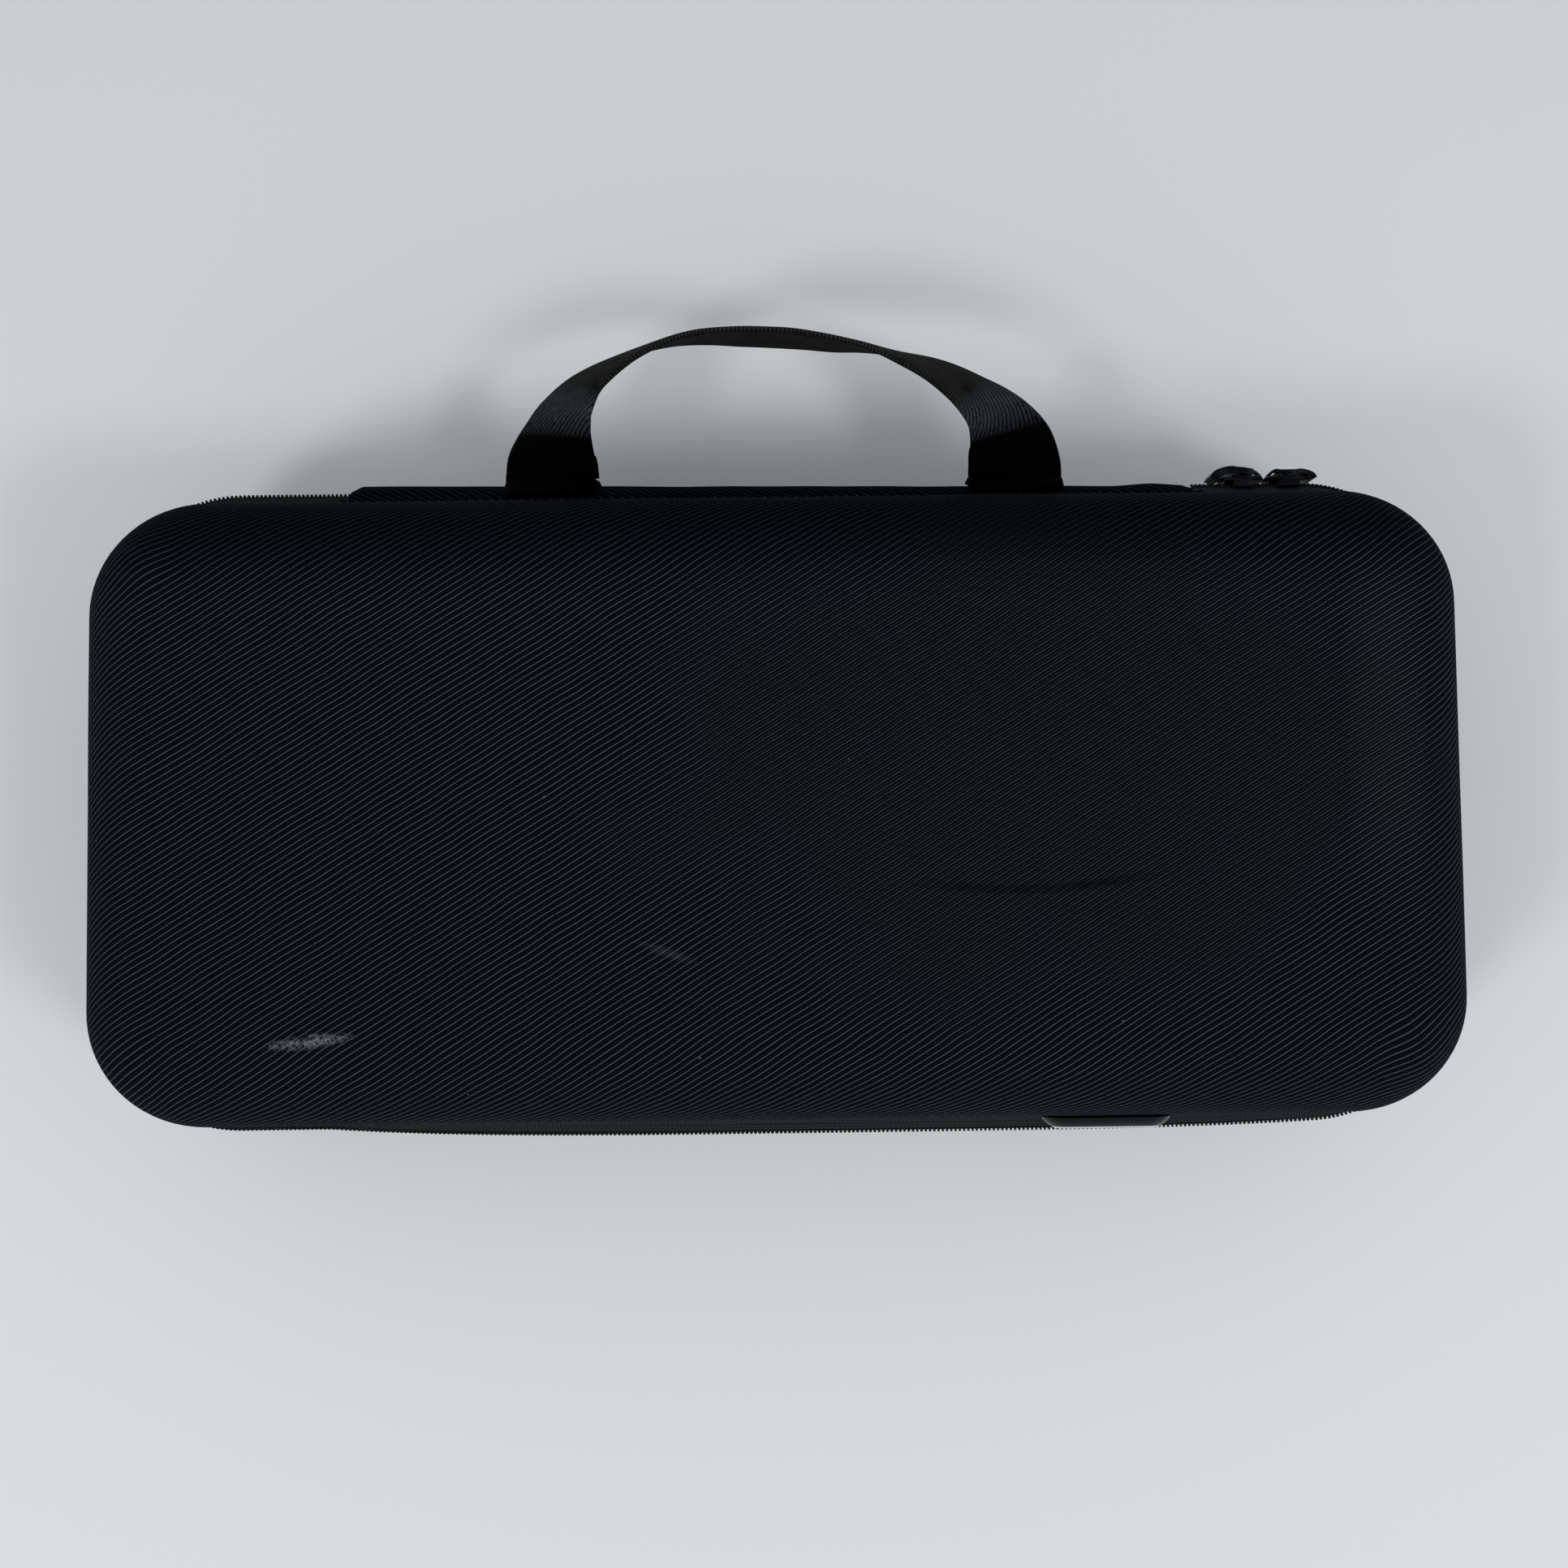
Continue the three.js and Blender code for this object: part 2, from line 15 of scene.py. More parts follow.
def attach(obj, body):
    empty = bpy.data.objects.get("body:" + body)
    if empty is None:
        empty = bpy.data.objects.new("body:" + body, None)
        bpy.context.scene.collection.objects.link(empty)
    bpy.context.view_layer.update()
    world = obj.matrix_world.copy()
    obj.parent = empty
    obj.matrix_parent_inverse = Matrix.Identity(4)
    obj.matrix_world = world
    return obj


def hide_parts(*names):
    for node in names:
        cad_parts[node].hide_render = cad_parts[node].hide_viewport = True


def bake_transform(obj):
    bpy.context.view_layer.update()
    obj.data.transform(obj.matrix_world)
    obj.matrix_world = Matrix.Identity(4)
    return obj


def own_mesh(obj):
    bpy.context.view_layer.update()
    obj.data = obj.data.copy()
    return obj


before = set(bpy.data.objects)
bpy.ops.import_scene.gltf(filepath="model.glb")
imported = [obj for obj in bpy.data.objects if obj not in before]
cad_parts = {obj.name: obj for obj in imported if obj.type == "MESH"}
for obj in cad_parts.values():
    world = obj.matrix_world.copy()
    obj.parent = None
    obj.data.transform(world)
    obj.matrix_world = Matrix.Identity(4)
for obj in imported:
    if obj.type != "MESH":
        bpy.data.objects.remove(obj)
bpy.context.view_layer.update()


# ---- The view: looked at from almost straight above, a little towards the front edge ----
VIEW_HEIGHT = 456
VIEW_AT = (0.1, -11.6)
VIEW_TILT = (2.53, -0.27, -0.73)
VIEW_LENS = 35.4

camera = bpy.data.objects.new("view", bpy.data.cameras.new("view"))
camera.data.sensor_width = 36
camera.data.lens = VIEW_LENS
camera.data.clip_start = 0.01
camera.location = (VIEW_AT[0] / 1000, VIEW_AT[1] / 1000, VIEW_HEIGHT / 1000)
camera.rotation_euler = [math.radians(angle) for angle in VIEW_TILT]
bpy.context.scene.collection.objects.link(camera)
bpy.context.scene.camera = camera


# ---- Studio: a pale matt table, a lamp at each front corner, and light all round ----
# The lamps stand far enough forward for the lid to shade the roots of the handle, and their
# two shadows cross behind the case.
class Value:
    """A number that varies over a surface. Arithmetic on it adds Math nodes."""

    def __init__(self, finish, socket):
        self.finish = finish
        self.socket = socket

    def __add__(self, other):
        return self.finish.math("ADD", self, other)

    __radd__ = __add__

    def __sub__(self, other):
        return self.finish.math("SUBTRACT", self, other)

    def __rsub__(self, other):
        return self.finish.math("SUBTRACT", other, self)

    def __mul__(self, other):
        return self.finish.math("MULTIPLY", self, other)

    __rmul__ = __mul__

    def __truediv__(self, other):
        return self.finish.math("DIVIDE", self, other)

    def __pow__(self, other):
        return self.finish.math("POWER", self, other)

    def __abs__(self):
        return self.finish.math("ABSOLUTE", self)

    def fraction(self):
        return self.finish.math("FRACT", self)

    def floor(self):
        return self.finish.math("FLOOR", self)

    def larger(self, other):
        return self.finish.math("MAXIMUM", self, other)

    def smaller(self, other):
        return self.finish.math("MINIMUM", self, other)

    def above(self, edge):
        return self.finish.math("GREATER_THAN", self, edge)

    def rise(self, low, high):
        """0 up to low, 1 from high on, and smooth between them. High may be the lower one."""
        node = self.finish.node(
            "ShaderNodeMapRange",
            {"interpolation_type": "SMOOTHSTEP"},
            {"Value": self, "From Min": low, "From Max": high},
        )
        return Value(self.finish, node.outputs[0])

    def hump(self, middle, half):
        """1 at the middle, 0 a half width away, round between them."""
        away = abs(self - middle) / half
        return (1 - away.smaller(1.0) ** 2.0) ** 0.7


class Finish:
    """One surface finish: a Principled shader and the nodes that feed it."""

    def __init__(self, name, **uniform):
        self.material = bpy.data.materials.new(name)
        self.material.use_nodes = True
        self.tree = self.material.node_tree
        self.shader = self.tree.nodes["Principled BSDF"]
        for socket, value in uniform.items():
            self.shader.inputs[socket.replace("_", " ")].default_value = value

    def feed(self, socket, value):
        if isinstance(value, Value):
            value = value.socket
        if isinstance(value, bpy.types.NodeSocket):
            self.tree.links.new(value, socket)
        elif socket.type == "RGBA" and len(value) == 3:
            socket.default_value = (*value, 1)
        else:
            socket.default_value = value

    def node(self, kind, settings=None, sockets=None):
        node = self.tree.nodes.new(kind)
        for key, value in (settings or {}).items():
            setattr(node, key, value)
        for key, value in (sockets or {}).items():
            self.feed(node.inputs[key], value)
        return node

    def math(self, operation, *values):
        node = self.node("ShaderNodeMath", {"operation": operation}, dict(enumerate(values)))
        return Value(self, node.outputs[0])

    def surface(self, name):
        """The two coordinates, in millimetres, that a mesh's map of that name lays over it."""
        chart = self.node("ShaderNodeUVMap", {"uv_map": name})
        split = self.node("ShaderNodeSeparateXYZ", None, {0: chart.outputs[0]})
        return Value(self, split.outputs[0]), Value(self, split.outputs[1])

    def place(self):
        """The point itself, in metres, in the piece's own space."""
        return self.node("ShaderNodeTexCoord").outputs["Object"]

    def point(self, x, y, z=0.0):
        return self.node("ShaderNodeCombineXYZ", None, {0: x, 1: y, 2: z}).outputs[0]

    def noise(self, vector, scale, detail=3.0, roughness=0.55):
        sockets = {"Vector": vector, "Scale": scale, "Detail": detail, "Roughness": roughness}
        return Value(self, self.node("ShaderNodeTexNoise", None, sockets).outputs[0])

    def cells(self, vector, scale, output="Distance"):
        node = self.node("ShaderNodeTexVoronoi", None, {"Vector": vector, "Scale": scale})
        if output == "Color":
            split = self.node("ShaderNodeSeparateColor", None, {0: node.outputs["Color"]})
            return Value(self, split.outputs[0])
        return Value(self, node.outputs[output])

    def mix(self, share, first, second):
        node = self.node("ShaderNodeMix", {"data_type": "RGBA"}, {0: share, 6: first, 7: second})
        return node.outputs[2]

    def relief(self, height, depth_mm, strength=1.0, under=None):
        sockets = {"Height": height, "Distance": depth_mm / 1000, "Strength": strength}
        if under is not None:
            sockets["Normal"] = under
        return self.node("ShaderNodeBump", None, sockets).outputs[0]

    def wear(self, **sockets):
        """Joins what varies to the shader, and gives the finished material."""
        for key, value in sockets.items():
            self.feed(self.shader.inputs[key.replace("_", " ")], value)
        return self.material


TABLE_SIZE = 6
TABLE_GREY = (0.775, 0.788, 0.795)


def table_finish():
    finish = Finish("pale_table", Roughness=0.9)
    grain = finish.noise(finish.place(), 180.0, 4.0)
    drift = finish.noise(finish.place(), 1.3, 1.0)
    pale = finish.mix(drift, TABLE_GREY, [channel * 0.97 for channel in TABLE_GREY])
    return finish.wear(Base_Color=pale, Normal=finish.relief(grain, 0.1, 0.15))


bpy.ops.mesh.primitive_plane_add(size=TABLE_SIZE)
table = bpy.context.object
table.name = "table"
table.data.materials.append(table_finish())


def lamp(name, place, aim, size, power, colour=(1, 1, 1)):
    light = bpy.data.lights.new(name, "AREA")
    light.shape = "DISK"
    light.size = size
    light.energy = power
    light.color = colour
    thing = bpy.data.objects.new(name, light)
    thing.location = place
    thing.rotation_euler = (Vector(aim) - Vector(place)).to_track_quat("-Z", "Y").to_euler()
    bpy.context.scene.collection.objects.link(thing)


lamp("left_lamp", (-0.571, -0.459, 0.9), (0, 0, 0.03), 0.24, 2.9, (1, 0.99, 0.98))
lamp("right_lamp", (0.546, -0.346, 0.9), (0, 0, 0.03), 0.24, 2.7, (1, 0.99, 0.98))

world = bpy.data.worlds.new("studio")
world.use_nodes = True
world.node_tree.nodes["Background"].inputs["Color"].default_value = (0.94, 0.97, 1, 1)
world.node_tree.nodes["Background"].inputs["Strength"].default_value = 0.57
bpy.context.scene.world = world
bpy.context.scene.view_settings.view_transform = "Standard"


# ---- Half shells ----
# Each half is a sheet of foam moulded hot in a female tool with ribbed polyester twill on
# its outside: flat top, round edge, walls with a little draft. The cloth is drawn down over
# the edges, so its ribs bend where it turns.
RIM_HALF_LENGTH = 172.5
RIM_HALF_DEPTH = 79.5
RIM_CORNER = 31
SHELL_HEIGHT = 38
SHELL_THICK = 5
EDGE_RADIUS = 23
DRAFT = math.radians(5)
CASE_HEIGHT = 90
ZIP_Z = 45

CORNER_STEPS = 18
LONG_STEPS = 100
SHORT_STEPS = 36
FLAT_STEPS = 16
EDGE_STEPS = 16
WALL_STEPS = 8


def rim_outline(inset):
    """Points and outward directions round the case, closed, anticlockwise from the right."""
    radius = max(RIM_CORNER - inset, 1.0)
    reach = np.array([RIM_HALF_LENGTH - inset - radius, RIM_HALF_DEPTH - inset - radius])
    points, normals = [], []
    quarters = ((1, -1, SHORT_STEPS, 0), (1, 1, LONG_STEPS, 90), (-1, 1, SHORT_STEPS, 180),
                (-1, -1, LONG_STEPS, 270))
    for sign_x, sign_y, steps, start in quarters:
        here = reach * (sign_x, sign_y)
        facing = math.radians(start)
        for i in range(CORNER_STEPS):
            angle = facing - math.pi / 2 + math.pi / 2 * i / CORNER_STEPS
            normal = np.array([math.cos(angle), math.sin(angle)])
            points.append(here + radius * normal)
            normals.append(normal)
        normal = np.array([math.cos(facing), math.sin(facing)])
        turn = np.array([-normal[1], normal[0]])
        span = 2 * abs(reach @ turn)
        for i in range(steps):
            points.append(here + radius * normal + turn * span * i / steps)
            normals.append(normal)
    points.append(points[0])
    normals.append(normals[0])
    return np.array(points), np.array(normals)


def wall_inset(height, depth=0.0):
    """How far in from the rim's outline a wall's face lies at a height over the flat."""
    return (SHELL_HEIGHT - height) * math.tan(DRAFT) + depth / math.cos(DRAFT)


def face_rings(depth, rim_height, crown=0.0):
    """Rings of one face of a half shell from the middle of its flat to its rim.
    Gives points with z as the height over the flat, and the unrolled cloth coordinates.
    The cloth is stretched outward as it is drawn down, most of all round the corners."""
    centre = wall_inset(EDGE_RADIUS) + EDGE_RADIUS / math.cos(DRAFT)
    radius = EDGE_RADIUS - depth
    edge, outward = rim_outline(centre)
    draw = (0.92 - 0.7 * (outward[:, :1] * outward[:, 1:]) ** 2) * outward
    spine = np.zeros_like(edge)
    half_spine = RIM_HALF_LENGTH - RIM_HALF_DEPTH
    spine[:, 0] = np.clip(edge[:, 0], -half_spine, half_spine)
    rings, cloth = [], []
    for i in range(FLAT_STEPS):
        plan = spine + (edge - spine) * (i / FLAT_STEPS)
        share = plan / edge.max(axis=0)
        dome = (1 - share[:, 0] ** 2) * (1 - share[:, 1] ** 2)
        rings.append(np.column_stack([plan, depth - crown * dome]))
        cloth.append(plan)
    for i in range(EDGE_STEPS + 1):
        angle = (math.pi / 2 - DRAFT) * i / EDGE_STEPS
        plan = edge + outward * (radius * math.sin(angle))
        height = np.full((len(plan), 1), EDGE_RADIUS - radius * math.cos(angle))
        rings.append(np.hstack([plan, height]))
        cloth.append(edge + draw * (EDGE_RADIUS * angle))
    top = EDGE_RADIUS - radius * math.sin(DRAFT)
    for i in range(1, WALL_STEPS + 1):
        height = top + (rim_height - top) * i / WALL_STEPS
        plan, _ = rim_outline(wall_inset(height, depth))
        rings.append(np.column_stack([plan, np.full(len(plan), height)]))
        run = EDGE_RADIUS * (math.pi / 2 - DRAFT) + (height - top) / math.cos(DRAFT)
        cloth.append(edge + draw * run)
    return np.array(rings), np.array(cloth)


def unsettle(points, amount, scale, seed):
    """Moves points up and down a little, as a moulded or sewn surface is never quite true."""
    moved = points.copy()
    flat = moved.reshape(-1, 3)
    for row in flat:
        row[2] += amount * noise.noise(Vector((row[0] / scale, row[1] / scale, seed)))
    return moved


def grid_piece(name, points, chart, finishes, bands=None, smooth_angle=45):
    """A mesh over a grid of points (rows, columns, xyz) in mm, with its map in mm.
    Ends that meet are welded. bands gives each row of faces its finish."""
    rows, columns = points.shape[:2]
    corner = np.arange(rows * columns).reshape(rows, columns)
    quads = np.stack([corner[:-1, :-1], corner[:-1, 1:], corner[1:, 1:], corner[1:, :-1]], -1)
    quads = quads.reshape(-1, 4)
    mesh = bpy.data.meshes.new(name)
    mesh.from_pydata((points.reshape(-1, 3) / 1000).tolist(), [], quads.tolist())
    layer = mesh.uv_layers.new(name="chart")
    layer.data.foreach_set("uv", chart.reshape(-1, 2)[quads.ravel()].astype(np.float32).ravel())
    if bands is not None:
        mesh.polygons.foreach_set("material_index", np.repeat(bands, columns - 1).astype(np.int32))
    return finish_mesh(name, mesh, finishes, smooth_angle)


def finish_mesh(name, mesh, finishes, smooth_angle=45):
    """Welds a new mesh, drops what the weld closed up, and shades it smooth but for its edges."""
    work = bmesh.new()
    work.from_mesh(mesh)
    bmesh.ops.remove_doubles(work, verts=work.verts, dist=2e-6)
    bmesh.ops.recalc_face_normals(work, faces=work.faces)
    work.to_mesh(mesh)
    work.free()
    mesh.polygons.foreach_set("use_smooth", np.ones(len(mesh.polygons), bool))
    mesh.set_sharp_from_angle(angle=math.radians(smooth_angle))
    for finish in finishes:
        mesh.materials.append(finish)
    thing = bpy.data.objects.new(name, mesh)
    bpy.context.scene.collection.objects.link(thing)
    return thing


def settle(piece, body, slot, *nodes):
    """Puts a finished piece on its body, in place of its frame nodes. The slot is not used."""
    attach(piece, body)
    if nodes:
        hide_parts(*nodes)
    return piece


RIB_PITCH = 1.4
BEAD_PITCH = 0.81
RIB_ANGLE = math.radians(32)


def twill_height(finish, u, v, pitch=RIB_PITCH):
    """The cloth's relief: a smooth cord and a row of slanted grains beside it in each rib."""
    wobble = finish.noise(finish.point(u, v), 0.045, 2.0) - 0.5
    across = (v * math.cos(RIB_ANGLE) - u * math.sin(RIB_ANGLE)) / pitch + wobble * 0.9
    along = (u * math.cos(RIB_ANGLE) + v * math.sin(RIB_ANGLE)) / BEAD_PITCH
    share = across.fraction()
    cord = share.hump(0.2, 0.19)
    grain = (along + across.floor() * 0.5 + share * 0.8).fraction().hump(0.5, 0.5)
    row = share.hump(0.68, 0.21)
    return cord, row * (grain * 0.75 + 0.25)


def twill_finish(name, marks=None):
    """Blue-black ribbed twill with dust on it and, where marks are given, scuffs. Light is
    painted on it as well: shade in the gaps between grains, a highlight along each cord, a
    greyer middle patch without the blue sheen round it, and shade over the back band."""
    finish = Finish(name, Specular_IOR_Level=0.008)
    u, v = finish.surface("chart")
    cord, grain = twill_height(finish, u, v)
    height = (cord * 0.8).larger(grain)
    fibre = finish.noise(finish.point(u, v), 1.7, 3.0)
    drift = finish.noise(finish.point(u, v), 0.02, 3.0)
    # Painted light: a broad patch over the middle is greyer and flatter, without the blue sheen
    # round it.
    middle = (((u - 60) / 95) ** 2.0 + ((v - 8) / 62) ** 2.0) ** 0.5 + (drift - 0.5) * 1.4
    painted_grey_middle = middle.rise(1.15, 0.7)
    # Painted shade: the gaps between the grains are near black, for the shade in the grooves.
    groove_shade = (0.00005, 0.0001, 0.0003)
    cool = finish.mix(grain, groove_shade, (0.0055, 0.0085, 0.0145))
    grey = finish.mix(grain, groove_shade, (0.0165, 0.0215, 0.0265))
    colour = finish.mix(painted_grey_middle, cool, grey)
    # Painted highlight: a bright line along each cord, weaker in the grey middle patch.
    shine = cord * fibre.rise(0.2, 0.46) * (1 - painted_grey_middle * 0.4)
    colour = finish.mix(shine, colour, (0.038, 0.047, 0.060))
    # Painted shade: the back band, which faces away from the lamps, is darkened.
    shaded = v.rise(48, 70) * 0.72
    colour = finish.mix(shaded, colour, (0.0005, 0.0012, 0.0026))
    speck = finish.cells(finish.point(u, v), 0.11)
    lucky = finish.cells(finish.point(u, v), 0.11, "Color").above(0.82)
    dust = speck.rise(0.028, 0.014) * lucky
    colour = finish.mix(dust * 0.6, colour, (0.30, 0.31, 0.32))
    if marks is not None:
        colour, height = marks(finish, u, v, colour, height)
    normal = finish.relief(height, 0.4, 0.9)
    roughness = 0.7 - cord * 0.15 + fibre * 0.1
    return finish.wear(Base_Color=colour, Roughness=roughness, Normal=normal)


def lid_marks(finish, u, v, colour, height):
    """What use has left on the lid: a chalky scuff, a pressed crease and a streak; with painted
    shade in the crease and a painted highlight where the flat top turns into the right end.
    """
    tooth = finish.noise(finish.point(u, v), 1.1, 4.0)
    patch = finish.noise(finish.point(u, v), 0.25, 2.0)
    near = (((u + 110.5) / 11.5) ** 2.0 + ((v + 54.8 - (u + 110.5) * 0.1) / 1.9) ** 2.0) ** 0.5
    scuff = (1 - near.smaller(1.0)) * patch.rise(0.3, 0.6) * tooth.rise(0.36, 0.66)
    colour = finish.mix((scuff * 1.5).smaller(0.8), colour, (0.20, 0.22, 0.24))
    streak_at = (((u + 26) / 8) ** 2.0 + ((v + 35 + (u + 26) * 0.35) / 1.6) ** 2.0) ** 0.5
    streak = (1 - streak_at.smaller(1.0)) * tooth
    colour = finish.mix(streak * 0.16, colour, (0.20, 0.22, 0.24))
    bend = v + 21 - ((u - 58) ** 2.0) * 0.0035 + (tooth - 0.5) * 1.2
    ends = u.rise(30, 46) * u.rise(94, 80)
    crease = bend.hump(0.0, 1.3) * ends
    crease = crease * (0.35 + height)
    # Painted shade: the crease's dent is in the relief; its darker colour is painted shade in the
    # dent.
    colour = finish.mix((crease * 0.55).smaller(0.7), colour, (0.0006, 0.0008, 0.0012))
    # Painted highlight: a pale line on the rib tops along the right end, where the flat top turns
    # into the edge.
    edge_turn_highlight = u.hump(146, 10) * v.rise(-40, 5) * v.rise(62, 40) * height * (0.5 + patch * 0.5)
    colour = finish.mix(edge_turn_highlight * 0.3, colour, (0.055, 0.06, 0.065))
    return colour, height - crease * 0.7


def foam_finish(name, colour=(0.013, 0.013, 0.014)):
    """Closed-cell foam: matt, with the fine pores of its cut or moulded skin."""
    finish = Finish(name, Roughness=0.92, Specular_IOR_Level=0.2)
    place = finish.place()
    pores = finish.cells(place, 900.0).rise(0.1, 0.5)
    broad = finish.noise(place, 60.0, 3.0)
    tone = finish.mix(pores * 0.7 + broad * 0.3, [channel * 0.45 for channel in colour], colour)
    return finish.wear(Base_Color=tone, Normal=finish.relief(pores, 0.15, 0.6))


MOULDED_FOAM = foam_finish("moulded_foam")


def half_shell(name, upside_down, twill, crown):
    outer, cloth = face_rings(0, SHELL_HEIGHT, crown)
    inner, inner_cloth = face_rings(SHELL_THICK, SHELL_HEIGHT)
    points = np.concatenate([outer, inner[::-1]])
    chart = np.concatenate([cloth, inner_cloth[::-1]])
    if upside_down:
        points = unsettle(points, 0.3, 42, 3.0)
        points[..., 2] = CASE_HEIGHT - points[..., 2]
    bands = np.zeros(len(points) - 1)
    bands[len(outer) - 1:] = 1
    return grid_piece(name, points, chart, [twill, MOULDED_FOAM], bands)


LID_TWILL = twill_finish("ribbed_twill_lid", lid_marks)
BASE_TWILL = twill_finish("ribbed_twill_base")
settle(half_shell("lid_moulding", True, LID_TWILL, 0.5), "lid", "twill", "lid_shell")
settle(half_shell("base_moulding", False, BASE_TWILL, 0), "base", "twill", "base_shell")


# ---- Linings ----
# A brushed tricot is laminated to the inside of each moulding in the same press.
LINING_DEPTHS = (5.3, 6.1)


def tricot_finish():
    finish = Finish("tricot_lining", Roughness=0.95, Specular_IOR_Level=0.08, Sheen_Weight=0.03)
    u, v = finish.surface("chart")
    wale = (u * 1.25).fraction().hump(0.5, 0.5)
    course = (v * 0.9 + (u * 1.25).floor() * 0.5).fraction().hump(0.5, 0.5)
    nap = finish.noise(finish.point(u, v), 0.5, 4.0)
    loops = wale * course * 0.6 + nap * 0.5
    colour = finish.mix(loops, (0.004, 0.0042, 0.005), (0.020, 0.021, 0.024))
    return finish.wear(Base_Color=colour, Normal=finish.relief(loops, 0.2, 0.5))


TRICOT = tricot_finish()


def half_lining(name, upside_down):
    rim_height = SHELL_HEIGHT - 0.6
    outer, cloth = face_rings(LINING_DEPTHS[0], rim_height)
    inner, inner_cloth = face_rings(LINING_DEPTHS[1], rim_height)
    points = np.concatenate([outer, inner[::-1]])
    chart = np.concatenate([cloth, inner_cloth[::-1]])
    if upside_down:
        points[..., 2] = CASE_HEIGHT - points[..., 2]
    return grid_piece(name, points, chart, [TRICOT])


settle(half_lining("lid_tricot", True), "lid", "lining", "lid_lining")
settle(half_lining("base_tricot", False), "base", "lining", "base_lining")


# ---- Rim bindings ----
# A grosgrain ribbon is sewn round inside each rim to cover the lining's edge. Its seam is
# a row of lockstitch 2 mm from the ribbon's lower edge.
BINDING_DEPTHS = (6.4, 7.3)
BINDING_HEIGHT = 9
THREAD_RADIUS = 0.22


def ribbon_finish(name, dark=(0.0035, 0.0037, 0.0042), pale=(0.016, 0.0165, 0.018)):
    """Grosgrain: fine cross ribs, a thicker woven edge, a little shine on the ribs."""
    finish = Finish(name, Specular_IOR_Level=0.1, Sheen_Weight=0.02)
    along, across = finish.surface("chart")
    rib = (along / 0.55).fraction().hump(0.5, 0.5)
    thread = finish.noise(finish.point(along * 3.0, across * 0.7), 1.0, 3.0)
    colour = finish.mix(rib * 0.8 + thread * 0.2, dark, pale)
    normal = finish.relief(rib + thread * 0.3, 0.18, 0.8)
    return finish.wear(Base_Color=colour, Roughness=0.75 - rib * 0.2, Normal=normal)


def thread_finish():
    finish = Finish("sewing_thread", Specular_IOR_Level=0.35)
    twist = finish.noise(finish.place(), 2600.0, 2.0)
    colour = finish.mix(twist, (0.008, 0.009, 0.011), (0.035, 0.038, 0.042))
    return finish.wear(Base_Color=colour, Roughness=0.5 + twist * 0.2)


GROSGRAIN = ribbon_finish("grosgrain_ribbon")
THREAD = thread_finish()


def resample(line, step):
    """Points at even steps along a polyline, with the directions there."""
    gaps = np.linalg.norm(np.diff(line, axis=0), axis=1)
    run = np.concatenate([[0], np.cumsum(gaps)])
    count = max(int(round(run[-1] / step)), 1)
    wanted = np.linspace(0, run[-1], count + 1)
    points = np.column_stack([np.interp(wanted, run, line[:, k]) for k in range(3)])
    tangents = np.gradient(points, axis=0)
    tangents /= np.linalg.norm(tangents, axis=1)[:, None]
    return points, tangents, wanted


def stitches(name, lines, ups, body, pitch=3.0, length=2.1):
    """Rows of lockstitch: each stitch is a short bowed thread whose ends dive into the cloth."""
    verts, faces = [], []
    for line, up in zip(lines, ups):
        points, tangents, _ = resample(np.array(line, float), pitch)
        up = np.broadcast_to(np.array(up, float), points.shape)
        for centre, along, lift in zip(points[:-1], tangents[:-1], up[:-1]):
            side = np.cross(along, lift)
            side /= np.linalg.norm(side)
            first = len(verts)
            for i in range(5):
                share = i / 2 - 1
                rise = 0.28 * (1 - share ** 2) - 0.2
                radius = THREAD_RADIUS * (1 - 0.45 * share ** 2)
                for k in range(6):
                    angle = math.tau * k / 6
                    round_it = side * math.cos(angle) + lift * math.sin(angle)
                    spine = centre + along * (share * length / 2) + lift * rise
                    verts.append(spine + round_it * radius)
            for i in range(4):
                for k in range(6):
                    a = first + 6 * i + k
                    b = first + 6 * i + (k + 1) % 6
                    faces.append((a, b, b + 6, a + 6))
            faces.append(tuple(first + k for k in range(5, -1, -1)))
            faces.append(tuple(first + 24 + k for k in range(6)))
    mesh = bpy.data.meshes.new(name)
    mesh.from_pydata((np.array(verts) / 1000).tolist(), [], faces)
    piece = finish_mesh(name, mesh, [THREAD], 80)
    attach(piece, body)
    return piece


def swept_band(section, ring=rim_outline):
    """A closed section of [depth in from the outline, z] carried round it.
    Gives the grid of points and its chart: along the band, and round its section."""
    grids, charts = [], []
    girth = 0.0
    loop = [*section, section[0]]
    for k, (inset, z) in enumerate(loop):
        plan, _ = ring(inset)
        if k:
            girth += math.hypot(inset - loop[k - 1][0], z - loop[k - 1][1])
        gaps = np.linalg.norm(np.diff(plan, axis=0), axis=1)
        run = np.concatenate([[0], np.cumsum(gaps)])
        grids.append(np.column_stack([plan, np.full(len(plan), z)]))
        charts.append(np.column_stack([run, np.full(len(plan), girth)]))
    return np.array(grids), np.array(charts)


def mirrored(section):
    return [(inset, CASE_HEIGHT - z) for inset, z in section]


